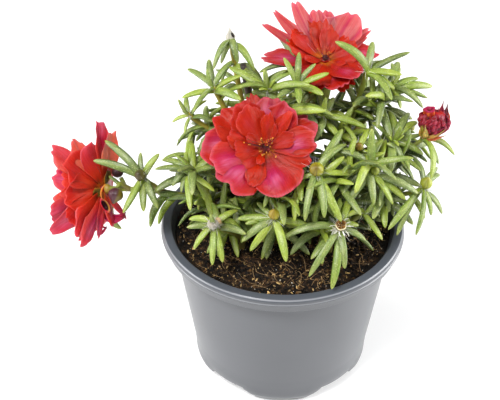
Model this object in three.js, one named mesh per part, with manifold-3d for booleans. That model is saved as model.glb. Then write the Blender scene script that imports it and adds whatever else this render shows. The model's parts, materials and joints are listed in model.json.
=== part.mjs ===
// A moss rose (portulaca) in a round nursery pot, in mm, +Z up.
// The origin is on the pot's axis at the level of its feet, and the pot's front faces -Y.
import * as THREE from "three";
import { mergeVertices } from "three/addons/utils/BufferGeometryUtils.js";
import Module from "manifold-3d";

const wasm = await Module();
wasm.setup();

// ---- Driving dimensions ----
const POT = {
  rimR: 60, height: 85, mouthR: 54.7, skirtR: 58.2, skirtZ: 77, wall: 1.3,
  topR: 54, topZ: 77, lowR: 45.1, lowZ: 16, footR: 40, footWidth: 6, floorZ: 3, floorThick: 2.2,
  footGapAngle: 43, footGapHeight: 2.8, edgeGapR: 40.4, edgeGapHeight: 6.2, notchWidth: 6, notchHeight: 0.7, padR: 7.5, drainR: 3.5, drainAt: 27,
  sides: 34,
};
const CLEARANCE = 0.3; // between solids that touch on the real plant
const SOIL = { z: 80.5, relief: 1.1, rings: 4, sides: 27 };
const STEM = { radius: 1.6, forkR: 1.45, sides: 5, step: 14, rootDepth: 9, cupR: 2.5, cupLength: 2.4, tipReach: 1.2 };
const LEAF = { halfWidth: 2.1, fullLength: 18, inStem: 2.2, sunk: 0.2, offAxis: 0.9, stagger: 1.3 };
// Stations along a leaf: share of its length, share of its half width; it closes in a point at both ends.
const SHORT_STATIONS = [[0.4, 0.92], [0.84, 0.82]];
const LONG_STATIONS = [[0.34, 0.86], [0.64, 1], [0.88, 0.72]];
const LONG_LEAF = 24; // from this length on, a leaf has the long row of stations
const LEAF_GIRTH = [[0.3, 1.9], [0.5, 2.3], [0.7, 2.2], [0.9, 1.5]]; // share of length, radius kept clear
const OWN_GIRTH = 0.6; // leaves of one plant may lie this much closer, past the first OWN_SHARE of their length
const OWN_SHARE = 0.45;
const PETAL = { thick: 0.6, start: 1.3, cup: 0.14, ruffle: 0.8, broad: 9.5 };
const RECEPTACLE = { low: 1.5, high: 2.5, height: 3.2 };
const STAMENS = { bossR: 1.5, reach: 6.5, lean: 18, count: 5 };
const TURNS = [0, 12, -12, 24, -24, 36, -36];
const LIFTS = [0, 16, -14];
const HEART = { length: 9, lift: 74 }; // the young leaf that stands in the middle of a shoot's tip
const GOLDEN = 137.5;
const DOWN = new THREE.Vector3(0, 0, -1);
const UP = new THREE.Vector3(0, 0, 1);
// Clock directions on a shoot count from its right, anticlockwise, as seen from the front and above.
const CLOCK_UP = new THREE.Vector3(0, 0.61, 0.79);

const GREEN = 0x83a43a;
const OLD_STEM = 0x8c7a35;
const RED = 0xcb2c22;
const YELLOW = 0xe0a51c;

// ---- The plants: one leafy, branched stem each ----
// A shoot runs from the plant's root, or from a share of the way along the shoot named by its index,
// to its tip at `to`, and ends along `axis`. `leaves` are [clock direction, length] at its tip.
// `whorls` are more leaves lower down, each at a share of the shoot's length.
// `along` is the number of single leaves scattered up the bare stretch of the shoot.
const PLANTS = [
  {
    name: "stem_front_capsule", root: [22, -20],
    shoots: [
      { to: [25, -36, 109], axis: [0.05, -0.6, 0.8], lift: 12, droop: 0.8, along: 2,
        leaves: [[175, 27], [75, 20], [260, 27], [230, 26], [277, 18], [350, 13]] },
      { from: [0, 0.5], to: [37, -24, 108], axis: [0.5, -0.5, 0.7], lift: 20, droop: 0.6, along: 1, heart: true,
        leaves: [[300, 14], [15, 12], [70, 13], [150, 11]] },
    ],
  },
  {
    name: "stem_front_middle", root: [-3, -12],
    shoots: [
      { to: [-5, -33, 112], axis: [-0.05, -0.6, 0.8], lift: 10, droop: 0.5, along: 1,
        leaves: [[170, 16], [208, 17], [228, 17], [300, 20], [322, 18], [125, 11], [50, 13]],
        whorls: [[0.5, [[245, 16], [325, 20], [20, 14]]]] },
      { from: [0, 0.3], to: [-9.4, -12.2, 135.5], axis: [0.05, -0.62, 0.78], lift: 20, droop: 0.3, along: 5, cup: true,
        leaves: [] },
    ],
  },
  {
    name: "stem_front_left", root: [-20, -16],
    shoots: [
      { to: [-33, -33, 108], axis: [-0.1, -0.6, 0.8], lift: 15, droop: 0.7, along: 3, heart: true,
        leaves: [[225, 13], [270, 17], [288, 16], [35, 13], [150, 12], [95, 12]] },
    ],
  },
  {
    name: "stem_left", root: [-24, -4],
    shoots: [
      { to: [-84.5, 0, 104.3], axis: [-0.87, 0.4, -0.3], lift: 25, droop: 0.6, along: 0, cup: true, leaves: [],
        whorls: [[0.54, [[316, 17], [20, 12]]], [0.6, [[305, 18]]], [0.9, [[275, 22], [60, 9]]]] },
      { from: [0, 0.62], to: [-67, -8, 117], axis: [-0.2, -0.6, 0.8], lift: 24, droop: 0.5, along: 0,
        leaves: [[128, 25], [152, 25], [95, 12], [248, 19], [280, 16], [305, 16], [355, 10], [60, 13]] },
      { from: [0, 0.3], to: [-45, -5, 120], axis: [-0.1, -0.4, 0.9], lift: 20, droop: 0.6, along: 2, heart: true,
        leaves: [[90, 16], [50, 12], [145, 15], [230, 11], [257, 12], [355, 12], [15, 12], [278, 22]] },
      { from: [0, 0.84], to: [-79, -5, 110], axis: [-0.25, -0.75, -0.6], lift: 0, droop: 0, along: 0, leaves: [] },
      { from: [0, 0.86], to: [-78.3, 4.2, 106.5], axis: [-0.45, 0.35, 0.8], lift: 0, droop: 0, along: 0, leaves: [] },
    ],
  },
  {
    name: "stem_front_right", root: [14, -7],
    shoots: [
      { to: [14, -24, 132], axis: [0, -0.6, 0.8], lift: 12, droop: 0.5, along: 3,
        leaves: [[255, 23], [300, 24], [65, 25], [88, 19], [175, 8], [10, 15], [280, 21]] },
      { from: [0, 0.3], to: [41, -18, 126], axis: [0.15, -0.6, 0.8], lift: 12, droop: 0.5, along: 2,
        leaves: [[105, 16], [60, 19], [185, 15], [220, 18], [345, 22], [330, 18], [305, 15]] },
      { from: [0, 0.45], to: [34, -8, 133], axis: [0.1, -0.5, 0.85], lift: 15, droop: 0.4, along: 2,
        leaves: [[65, 11], [110, 14], [175, 10], [330, 10], [260, 13]] },
    ],
  },
  {
    name: "stem_right", root: [31, -3],
    shoots: [
      { to: [51, -2, 134], axis: [0.25, -0.5, 0.85], lift: 15, droop: 0.5, along: 3, heart: true,
        leaves: [[20, 16], [345, 15], [88, 16], [62, 18], [125, 12], [225, 18], [285, 12]] },
      { from: [0, 0.2], to: [65, -15, 116], axis: [0.4, -0.5, 0.8], lift: 10, droop: 0.7, along: 2,
        leaves: [[97, 20], [45, 16], [318, 15], [245, 23], [212, 28], [190, 25], [283, 12]] },
      { from: [0, 0.72], to: [66, 3, 132.5], axis: [0.45, 0, 0.9], lift: 10, droop: 1.2, along: 0, cup: true,
        leaves: [[245, 22], [278, 14]] },
    ],
  },
  {
    name: "stem_upper_left", root: [-15, 5],
    shoots: [
      { to: [-33, 12, 154], axis: [-0.35, -0.25, 0.9], lift: 28, droop: 0.3, along: 3, heart: true,
        leaves: [[145, 16], [105, 15], [205, 15], [60, 14], [20, 14], [335, 20], [262, 18]] },
      { from: [0, 0.5], to: [-45, 12, 139], axis: [-0.5, -0.3, 0.8], lift: 15, droop: 0.6, along: 2, heart: true,
        leaves: [[110, 12], [270, 8], [0, 11], [190, 9], [60, 10]],
        whorls: [[0.6, [[105, 14], [175, 9], [265, 13], [350, 10]]]] },
    ],
  },
  {
    name: "stem_top_left", root: [-13, 17],
    shoots: [
      { to: [-25, 30, 169], axis: [-0.1, -0.1, 1], lift: 25, droop: 2.2, along: 4,
        leaves: [[246, 22], [262, 14], [322, 22], [295, 15]],
        whorls: [[0.86, [[235, 12], [320, 20], [345, 20]]], [0.72, [[342, 18], [170, 13]]]] },
    ],
  },
  {
    name: "stem_top", root: [3, 12],
    shoots: [
      { to: [19.2, 28.2, 157.2], axis: [0.05, -0.38, 0.92], lift: 25, droop: 0.4, along: 4, cup: true, leaves: [] },
      { from: [0, 0.5], to: [6, 5, 160], axis: [0, -0.4, 0.9], lift: 30, droop: 0.2, along: 2, heart: true,
        leaves: [[118, 13], [88, 15], [45, 13], [15, 14], [325, 14], [220, 13], [270, 14]] },
      { from: [0, 0.4], to: [-8, 8, 156], axis: [-0.1, -0.3, 0.9], lift: 25, droop: 0.3, along: 2, heart: true,
        leaves: [[137, 20], [122, 14], [55, 13], [35, 12], [315, 17], [335, 24], [200, 14]] },
      { from: [0, 0.3], to: [18, 4, 144], axis: [0.1, -0.4, 0.9], lift: 15, droop: 0.5, along: 2, heart: true,
        leaves: [[315, 20], [95, 13], [65, 13], [180, 12], [245, 14]] },
    ],
  },
  {
    name: "stem_top_right", root: [25, 13],
    shoots: [
      { to: [38, 12, 163], axis: [0.1, -0.35, 0.9], lift: 32, droop: 0.35, along: 4, heart: true,
        leaves: [[150, 20], [112, 17], [24, 22], [340, 16], [292, 22], [318, 15], [215, 12]] },
      { from: [0, 0.4], to: [51, 18, 151], axis: [0.4, -0.2, 0.9], lift: 20, droop: 0.3, along: 3, heart: true,
        leaves: [[18, 15], [0, 21], [340, 18], [312, 16], [265, 12], [60, 19]] },
    ],
  },
  {
    name: "stem_back_left", root: [-27, 21],
    shoots: [
      { to: [-36, 36, 115], axis: [-0.4, 0.45, 0.8], lift: 18, droop: 0.5, along: 2, heart: true, round: [6, 15] },
      { from: [0, 0.35], to: [-42, 25, 100], axis: [-0.6, 0.3, 0.7], lift: 15, droop: 0.6, along: 1, heart: true,
        round: [5, 13] },
      { from: [0, 0.25], to: [-24, 46, 112], axis: [-0.2, 0.7, 0.7], lift: 15, droop: 0.6, along: 0, heart: true,
        round: [4, 17] },
    ],
  },
  {
    name: "stem_back", root: [2, 32],
    shoots: [
      { to: [0, 50, 121], axis: [0, 0.5, 0.85], lift: 18, droop: 0.5, along: 1, round: [7, 18] },
      { from: [0, 0.3], to: [17, 58, 110], axis: [0.3, 0.7, 0.6], lift: 12, droop: 0.6, along: 0, heart: true,
        round: [6, 16] },
    ],
  },
  {
    name: "stem_back_right", root: [27, 29],
    shoots: [
      { to: [41, 42, 132], axis: [0.3, 0.45, 0.85], lift: 18, droop: 0.5, along: 2, heart: true, round: [7, 18] },
      { from: [0, 0.3], to: [61, 30, 117], axis: [0.7, 0.3, 0.65], lift: 14, droop: 0.6, along: 1, round: [6, 17] },
    ],
  },
];

// Petals as [clock direction, length, half width, raise above the bloom's flat plane], from the outer ring in.
const BLOOMS = [
  { name: "bloom_front", on: ["stem_front_middle", 1], bend: 8,
    petals: [
      [347, 22, 7, 12], [7, 24, 7, 16], [24, 26, 6.5, 6], [43, 25, 6, 0], [60, 22, 7.5, 15], [82, 23, 8.5, 12],
      [104, 26, 5, 3], [121, 23, 8, 15], [144, 27, 9, 10], [182, 30, 9, 8], [200, 27, 8, 15], [226, 27, 11, 8],
      [254, 18, 7, 12], [292, 25, 10.5, 10], [65, 13, 4, 42], [150, 12, 4, 46], [250, 11, 3.5, 48],
    ] },
  { name: "bloom_top", on: ["stem_top", 0], bend: 8,
    petals: [
      [175, 29, 6, 0], [147, 33, 4, 6], [132, 33, 4.5, 6], [119, 31, 6.5, 22], [97, 27, 6, 12], [84, 27, 6.5, 5],
      [60, 28, 11, 10], [38, 28, 5, 3], [18, 27, 8, -6], [306, 24, 7.5, 28], [283, 24, 6.5, 20], [258, 20, 7, 20],
      [225, 19, 7, 20], [90, 17, 4.5, 42], [200, 13, 4, 44], [330, 13, 4, 46],
    ] },
  { name: "bloom_left", on: ["stem_left", 0], bend: 7,
    petals: [
      [83, 33, 6, 0], [95, 28, 7, -8], [76, 28, 6, 30], [57, 32, 6, 45], [29, 24, 6, 56], [45, 22, 9, 25],
      [68, 23, 7, 10], [347, 20, 8, 25], [325, 25, 5.5, 55], [313, 30, 6, 50], [302, 31, 5, 38], [300, 28, 9, 8],
      [296, 31, 4.5, 5], [288, 24, 3, -5], [244, 17, 5, -30], [275, 19, 5.5, -20], [150, 25, 8, 24], [190, 25, 8, 32],
      [225, 25, 7, 26],
    ] },
];

// Buds as [name, plant, shoot, largest radius, height].
const BUDS = [
  ["bud_left", "stem_left", 1, 2.8, 5.2],
  ["bud_bloom_left_a", "stem_left", 3, 3.3, 8],
  ["bud_bloom_left_b", "stem_left", 4, 2.6, 7],
  ["bud_front_middle", "stem_front_middle", 0, 2.7, 5],
  ["bud_middle", "stem_front_right", 0, 3.4, 6],
  ["bud_small", "stem_front_right", 1, 2.1, 4.2],
  ["bud_inner", "stem_front_right", 2, 2.2, 4.4],
  ["bud_right", "stem_right", 1, 3, 5.4],
  ["bud_back", "stem_back", 0, 2.6, 5],
  ["bud_back_right", "stem_back_right", 1, 2.6, 5],
];

// Folded petals of the spent bloom as [clock direction, length, lean from the bloom's axis].
const WITHERED = {
  on: ["stem_right", 2], halfWidth: 3,
  petals: [[40, 13, 22], [95, 17, 14], [160, 14, 26], [215, 12, 24], [275, 11, 30], [330, 13, 26], [70, 18, 3], [10, 15, 12]],
};

// ---- Small helpers ----
const vector = (p) => new THREE.Vector3(p[0], p[1], p[2]);
const radians = THREE.MathUtils.degToRad;

// The next number of a seeded row of draws between 0 and 1.
let seed = 7;
function draw() {
  seed = (seed * 1664525 + 1013904223) % 4294967296;
  return seed / 4294967296;
}

// A closed mesh as a solid that can be joined and cut.
function solid(geometry) {
  const bare = geometry.clone();
  bare.deleteAttribute("normal");
  bare.deleteAttribute("uv");
  const merged = mergeVertices(bare, 1e-4);
  return new wasm.Manifold(new wasm.Mesh({
    numProp: 3,
    vertProperties: new Float32Array(merged.attributes.position.array),
    triVerts: new Uint32Array(merged.index.array),
  }));
}

// A mesh of a solid, in its own material.
function meshOf(name, body, colour, roughness) {
  const made = body.getMesh();
  const points = new Float32Array(made.numVert * 3);
  for (let i = 0; i < made.numVert; i++) {
    points.set(made.vertProperties.subarray(i * made.numProp, i * made.numProp + 3), i * 3);
  }
  const geometry = new THREE.BufferGeometry()
    .setAttribute("position", new THREE.BufferAttribute(points, 3))
    .setIndex(new THREE.BufferAttribute(made.triVerts, 1));
  geometry.computeVertexNormals();
  const mesh = new THREE.Mesh(geometry, new THREE.MeshStandardMaterial({ color: colour, roughness, metalness: 0 }));
  mesh.name = name;
  return mesh;
}

// Joins many solids in pairs, which keeps each join small.
function joined(bodies) {
  let row = bodies;
  while (row.length > 1) {
    const next = [];
    for (let i = 0; i + 1 < row.length; i += 2) next.push(row[i].add(row[i + 1]));
    if (row.length % 2) next.push(row[row.length - 1]);
    row = next;
  }
  return row[0];
}

// A geometry from points and triangles.
function indexed(points, faces) {
  const flat = new Float32Array(points.length * 3);
  points.forEach((p, i) => p.toArray(flat, i * 3));
  return new THREE.BufferGeometry()
    .setAttribute("position", new THREE.BufferAttribute(flat, 3))
    .setIndex(faces);
}

// Right, up and outward directions of a shoot whose tip points along axis.
function clockFrame(axis) {
  const out = axis.clone().normalize();
  const up = CLOCK_UP.clone().addScaledVector(out, -CLOCK_UP.dot(out)).normalize();
  return { right: up.clone().cross(out), up, out };
}

// The direction at a clock angle, lifted from the plane across the shoot towards its axis.
function clockDirection(frame, clock, lift) {
  const c = radians(clock);
  const flat = frame.right.clone().multiplyScalar(Math.cos(c)).addScaledVector(frame.up, Math.sin(c));
  const l = radians(lift);
  return flat.multiplyScalar(Math.cos(l)).addScaledVector(frame.out, Math.sin(l));
}

// The turn that stands +Z along a direction, and a move to a point.
function standing(at, along) {
  const turn = new THREE.Quaternion().setFromUnitVectors(UP, along.clone().normalize());
  return new THREE.Matrix4().compose(at, turn, new THREE.Vector3(1, 1, 1));
}

// A body turned from a profile of [radius, height] points, with its axis along +Z.
function turned(profile, sides) {
  const lathe = new THREE.LatheGeometry(profile.map(([r, z]) => new THREE.Vector2(r, z)), sides);
  return lathe.rotateX(Math.PI / 2);
}

// ---- Stems ----
// A shoot's centre line: a cubic that leaves its root or its parent's line and ends along its own axis.
function shootLine(start, along, end, axis) {
  const reach = start.distanceTo(end);
  return new THREE.CubicBezierCurve3(
    start, start.clone().addScaledVector(along, 0.35 * reach),
    end.clone().addScaledVector(axis, -0.35 * reach), end,
  );
}

function layStems() {
  for (const plant of PLANTS) {
    const root = new THREE.Vector3(plant.root[0], plant.root[1], SOIL.z + 1);
    for (const shoot of plant.shoots) {
      const parent = shoot.from ? plant.shoots[shoot.from[0]].line : null;
      const start = parent ? parent.getPoint(shoot.from[1]) : root;
      const end = vector(shoot.to);
      const along = parent ? end.clone().sub(start).normalize() : UP.clone();
      if (parent) along.multiplyScalar(1.6).add(parent.getTangent(shoot.from[1])).normalize();
      shoot.axisUnit = vector(shoot.axis).normalize();
      shoot.frame = clockFrame(shoot.axisUnit);
      shoot.line = shootLine(start, along, end, shoot.axisUnit);
      shoot.length = shoot.line.getLength();
    }
  }
}

// The outline of a stem's section; a fork is a little thinner than what it grows from.
function stemSection(radius) {
  const ring = [];
  for (let i = 0; i < STEM.sides; i++) {
    const a = (2 * Math.PI * i) / STEM.sides;
    ring.push(new THREE.Vector2(radius * Math.cos(a), radius * Math.sin(a)));
  }
  return new THREE.Shape(ring);
}

function stemSolids(plant) {
  const depth = STEM.rootDepth + 2.5;
  const peg = new THREE.CylinderGeometry(STEM.radius * 1.08, STEM.radius * 1.08, depth, 6).rotateX(Math.PI / 2);
  peg.translate(plant.root[0], plant.root[1], SOIL.z - STEM.rootDepth + depth / 2);
  const bodies = [solid(peg)];
  for (const shoot of plant.shoots) {
    const end = shoot.line.getPoint(1).addScaledVector(shoot.axisUnit, STEM.tipReach);
    const path = new THREE.CurvePath();
    path.add(shoot.line);
    path.add(new THREE.LineCurve3(shoot.line.getPoint(1), end));
    const steps = Math.max(3, Math.round(shoot.length / STEM.step));
    const section = stemSection(shoot.from ? STEM.forkR : STEM.radius);
    bodies.push(solid(new THREE.ExtrudeGeometry(section, { steps, extrudePath: path })));
    if (shoot.cup) {
      const cup = new THREE.CylinderGeometry(STEM.cupR, STEM.radius * 0.9, STEM.cupLength, 7).rotateX(Math.PI / 2);
      cup.translate(0, 0, STEM.tipReach + 0.1 - STEM.cupLength / 2);
      bodies.push(solid(cup.applyMatrix4(standing(shoot.line.getPoint(1), shoot.axisUnit))));
    }
  }
  return bodies;
}

// ---- Keeping clear ----
// Balls of [centre, radius, owner] that stand for what is already placed.
const taken = [];

function keepStems() {
  for (const plant of PLANTS) {
    for (const shoot of plant.shoots) {
      const count = Math.ceil(shoot.length / 4);
      for (let i = 0; i <= count; i++) {
        taken.push([shoot.line.getPoint(i / count), STEM.radius, plant.name]);
      }
    }
  }
}

function keepPetals() {
  for (const bloom of BLOOMS) {
    for (const [order, petal] of bloom.petals.entries()) {
      const surface = petalSurface(bloom, petal, order);
      for (const s of [0.35, 0.6, 0.85, 1]) {
        for (const q of [-0.8, -0.3, 0.3, 0.8]) taken.push([surface(s, q), 2, bloom.name]);
      }
    }
  }
}

function keepHeads() {
  for (const [name, plant, index, radius, height] of BUDS) {
    const seat = seatOf([plant, index]);
    taken.push([seat.at.clone().addScaledVector(seat.along, height / 2), radius + 0.2, name]);
  }
  const spent = seatOf(WITHERED.on);
  for (const up of [4, 8, 12]) taken.push([spent.at.clone().addScaledVector(spent.along, up), 4.5, "bloom_spent"]);
  const dry = seatOf(["stem_front_capsule", 0]);
  taken.push([dry.at.clone().addScaledVector(dry.along, 2), 3, "seed_capsule"]);
}

// Whether a point with some radius is clear of the soil and of the pot's wall and rim.
function clearOfPot(p, radius) {
  const r = Math.hypot(p.x, p.y);
  if (r < POT.mouthR - 2 - radius) return p.z > SOIL.z + 0.8 + radius;
  return r > POT.rimR + 0.6 + radius || p.z > POT.height + 0.6 + radius;
}

// ---- Leaves ----
// A leaf's midrib leaves the shoot along the lifted clock direction and then droops.
// It is rooted past the shoot's centre line, and a whorl's leaves a little below each other, by their order.
function leafAt(shoot, share, frame, [clock, length], lift, droop, order) {
  const flat = clockDirection(frame, clock, 0);
  const first = clockDirection(frame, clock, lift);
  const second = first.clone().addScaledVector(DOWN, droop).normalize();
  const back = (LEAF.sunk + LEAF.stagger * (order % 3)) / shoot.length;
  const root = shoot.line.getPoint(share - back).addScaledVector(flat, -LEAF.offAxis);
  const half = 0.5 * (length + LEAF.inStem);
  const middle = root.clone().addScaledVector(first, half);
  const tip = middle.clone().addScaledVector(second, half);
  const width = LEAF.halfWidth * Math.min(1, 0.5 + (0.5 * length) / LEAF.fullLength);
  const side = frame.out.clone().cross(flat);
  return { line: new THREE.QuadraticBezierCurve3(root, middle, tip), side, width, length };
}

function leafIsClear(leaf, owner) {
  for (const [share, girth] of LEAF_GIRTH) {
    const p = leaf.line.getPoint(share);
    const radius = (girth * leaf.width) / LEAF.halfWidth;
    if (!clearOfPot(p, radius * 0.6)) return false;
    for (const [centre, size, name, outer] of taken) {
      const apart = radius + size + CLEARANCE;
      if (name !== owner && centre.distanceTo(p) < apart) return false;
      if (name === owner && outer && share > OWN_SHARE && centre.distanceTo(p) < OWN_GIRTH * apart) return false;
    }
  }
  return true;
}

// Turns and lifts a leaf until it stands clear of the other plants, or leaves it out.
function placeLeaf(plant, shoot, share, frame, [clock, length], lift, droop, order) {
  for (const more of LIFTS) {
    for (const turn of TURNS) {
      const leaf = leafAt(shoot, share, frame, [clock + turn, length], lift + more, droop, order);
      if (leafIsClear(leaf, plant.name)) {
        plant.leaves.push(leaf);
        for (const [part, girth] of LEAF_GIRTH) {
          const radius = (girth * leaf.width) / LEAF.halfWidth;
          taken.push([leaf.line.getPoint(part), radius, plant.name, part > OWN_SHARE]);
        }
        return;
      }
    }
  }
}

function growTips() {
  for (const plant of PLANTS) {
    plant.leaves = [];
    for (const shoot of plant.shoots) {
      const { frame, lift, droop } = shoot;
      (shoot.leaves ?? []).forEach((leaf, order) => placeLeaf(plant, shoot, 1, frame, leaf, lift, droop, order));
      const [count, size] = shoot.round ?? [0, 0];
      for (let i = 0; i < count; i++) {
        const clock = (360 * i) / count + 20 * draw();
        placeLeaf(plant, shoot, 1, frame, [clock, size * (0.8 + 0.4 * draw())], lift, droop, i);
      }
      for (const [share, leaves] of shoot.whorls ?? []) {
        leaves.forEach((leaf, order) => placeLeaf(plant, shoot, share, frame, leaf, lift, droop, order));
      }
      if (shoot.heart) placeLeaf(plant, shoot, 1, frame, [90, HEART.length], HEART.lift, 0, 0);
    }
  }
}

function growAlong() {
  for (const plant of PLANTS) {
    for (const shoot of plant.shoots) {
      const low = shoot.from ? 0.3 : 0.25;
      for (let i = 0; i < shoot.along; i++) {
        const share = low + ((0.84 - low) * (i + 0.6 * draw())) / shoot.along;
        const frame = clockFrame(shoot.line.getTangent(share));
        const leaf = [60 + GOLDEN * i + 40 * draw(), 13 + 6 * draw()];
        placeLeaf(plant, shoot, share, frame, leaf, 32, 0.5, 0);
      }
    }
  }
}

// A plump blade with a keeled section: rings of three points at the stations, between its two end points.
function bladeSolid({ line, side, width, length }) {
  const stations = length < LONG_LEAF ? SHORT_STATIONS : LONG_STATIONS;
  const points = [line.getPoint(0)];
  const faces = [0, 2, 1, 0, 3, 2, 0, 1, 3];
  for (const [share, breadth] of stations) {
    const p = line.getPoint(share);
    const normal = line.getTangent(share).cross(side).normalize();
    const w = width * breadth;
    points.push(p.clone().addScaledVector(side, w).addScaledVector(normal, 0.25 * w));
    points.push(p.clone().addScaledVector(side, -w).addScaledVector(normal, 0.25 * w));
    points.push(p.clone().addScaledVector(normal, -0.7 * w));
  }
  const last = 3 * stations.length - 2;
  for (let i = 1; i <= last; i += 3) {
    for (let k = 0; k < 3; k++) {
      const a = i + k;
      const b = i + ((k + 1) % 3);
      if (i < last) faces.push(a, b, b + 3, a, b + 3, a + 3);
      else faces.push(a, b, last + 3);
    }
  }
  points.push(line.getPoint(1));
  return outward(points, faces);
}

// A solid whose faces are turned to point out if they don't.
function outward(points, faces) {
  let volume = 0;
  for (let i = 0; i < faces.length; i += 3) {
    const [a, b, c] = [points[faces[i]], points[faces[i + 1]], points[faces[i + 2]]];
    volume += a.dot(b.clone().cross(c));
  }
  const turnedFaces = [];
  for (let i = 0; i < faces.length; i += 3) {
    if (volume < 0) turnedFaces.push(faces[i], faces[i + 2], faces[i + 1]);
    else turnedFaces.push(faces[i], faces[i + 1], faces[i + 2]);
  }
  return solid(indexed(points, turnedFaces));
}

// ---- Blooms ----
// Where a head sits: just above the tip of its shoot.
function seatOf([name, index]) {
  const shoot = PLANTS.find((plant) => plant.name === name).shoots[index];
  const at = vector(shoot.to).addScaledVector(shoot.axisUnit, STEM.tipReach + CLEARANCE);
  return { at, along: shoot.axisUnit, frame: shoot.frame };
}

// A petal's middle surface: s runs from its claw to its edge, q from side to side.
// It bends from a lower to a higher raise, is cupped across, waved towards its edge and notched at its middle.
// Petals that rise more are set higher, and neighbours a little above each other.
function petalSurface(bloom, [clock, length, halfWidth, raise], order) {
  const { at, along, frame } = seatOf(bloom.on);
  const out = clockDirection(frame, clock, 0);
  const side = along.clone().cross(out);
  const seat = 0.9 + 0.022 * Math.max(0, raise) + 0.4 * (order % 3);
  const centre = at.clone().addScaledVector(along, seat);
  const low = radians(raise - bloom.bend);
  const high = radians(raise + bloom.bend);
  const bow = (angle, part) => new THREE.Vector2(Math.cos(angle), Math.sin(angle)).multiplyScalar(part);
  const middle = bow(low, 0.5 * length);
  const tip = middle.clone().add(bow(high, 0.5 * length));
  return (s, q) => {
    const edge = 1 - 0.24 * Math.pow(Math.abs(q), 2.6) - 0.09 * Math.exp(-((q / 0.25) ** 2));
    const u = s * edge;
    const ground = middle.clone().multiplyScalar(2 * u * (1 - u)).addScaledVector(tip, u * u);
    const w = halfWidth * (0.12 + 0.88 * Math.sin((Math.PI / 2) * Math.min(1, u / 0.74)));
    const wave = PETAL.ruffle * Math.sin(3.1 * q + clock) * s * s * (halfWidth / 10);
    const height = ground.y + PETAL.cup * w * q * q + wave;
    return centre.clone().addScaledVector(out, PETAL.start + ground.x)
      .addScaledVector(side, w * q).addScaledVector(along, height);
  };
}

// A thick sheet that fans out from one point through two rows, both faces split alike, with a wall round it.
function petalSolid(surface, across, thickness) {
  const points = [surface(0, 0)];
  const faces = [];
  const stride = across + 1;
  const half = 2 * stride;
  for (const face of [0.5, -0.5]) {
    for (const s of [0.55, 1]) {
      for (let i = 0; i <= across; i++) points.push(surface(s, -1 + (2 * i) / across).addScaledVector(thickness, face));
    }
  }
  for (let i = 1; i <= across; i++) {
    const [a, b, c, d] = [i, i + 1, i + stride, i + 1 + stride];
    faces.push(0, a, b, a, d, b, a, c, d);
    faces.push(0, half + b, half + a, half + a, half + b, half + d, half + a, half + d, half + c);
  }
  const rim = [1];
  for (let i = 1; i <= stride; i++) rim.push(stride + i);
  rim.push(stride);
  for (let i = 0; i + 1 < rim.length; i++) {
    const [a, b] = [rim[i], rim[i + 1]];
    faces.push(a, half + b, b, a, half + a, half + b);
  }
  faces.push(0, half + 1, 1, 0, stride, half + stride);
  return outward(points, faces);
}

function bloomSolid(bloom) {
  const { at, along } = seatOf(bloom.on);
  const { low, high, height } = RECEPTACLE;
  const cup = turned([[0, 0], [low, 0], [high, 0.4 * height], [high, height], [0, height]], 8);
  const bodies = [solid(cup.applyMatrix4(standing(at, along)))];
  for (const [order, petal] of bloom.petals.entries()) {
    const [, , halfWidth, raise] = petal;
    const surface = petalSurface(bloom, petal, order);
    const columns = halfWidth < PETAL.broad ? 2 : 4;
    const tilt = radians(raise);
    const out = clockDirection(seatOf(bloom.on).frame, petal[0], 0);
    const across = along.clone().multiplyScalar(Math.cos(tilt)).addScaledVector(out, -Math.sin(tilt));
    bodies.push(petalSolid(surface, columns, across.multiplyScalar(PETAL.thick)));
  }
  return joined(bodies);
}

// A low boss with a ring of leaning filaments.
function stamenSolid(bloom) {
  const { at, along, frame } = seatOf(bloom.on);
  const base = at.clone().addScaledVector(along, RECEPTACLE.height + CLEARANCE);
  const boss = turned([[0, 0], [STAMENS.bossR, 0], [STAMENS.bossR, 0.8], [0, 1.6]], 6);
  const bodies = [solid(boss.applyMatrix4(standing(base, along)))];
  for (let i = 0; i <= STAMENS.count; i++) {
    const upright = i === STAMENS.count;
    const way = clockDirection(frame, (360 * i) / STAMENS.count, 90 - (upright ? 0 : STAMENS.lean));
    const reach = STAMENS.reach * (upright ? 1.1 : 0.9 + 0.1 * (i % 2));
    const filament = new THREE.CylinderGeometry(0.65, 0.35, reach, 3).rotateX(Math.PI / 2);
    filament.translate(0, 0, reach / 2);
    bodies.push(solid(filament.applyMatrix4(standing(base.clone().addScaledVector(along, 0.5), way))));
  }
  return joined(bodies);
}

// ---- Buds, the seed capsule, the dry cap and the spent bloom ----
function budSolid(plant, index, radius, height) {
  const { at, along } = seatOf([plant, index]);
  const profile = [[0, 0], [1.2, 0], [0.9 * radius, 0.25 * height], [radius, 0.5 * height],
    [0.72 * radius, 0.8 * height], [0, height]];
  return solid(turned(profile, 6).applyMatrix4(standing(at, along)));
}

function capsuleSolid() {
  const { at, along } = seatOf(["stem_front_capsule", 0]);
  const profile = [[0, 0], [1.3, 0], [2.6, 1.6], [2.5, 3.2], [3, 3.4], [2.8, 4], [1.9, 4.1], [1.2, 3.2], [0, 3.4]];
  return solid(turned(profile, 8).applyMatrix4(standing(at, along)));
}

function dryCapSolid() {
  const { at, along } = seatOf(["stem_top_left", 0]);
  return solid(turned([[0, 0], [1.3, 0], [1.9, 1.6], [1.5, 3.2], [0, 5.6]], 7).applyMatrix4(standing(at, along)));
}

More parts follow.
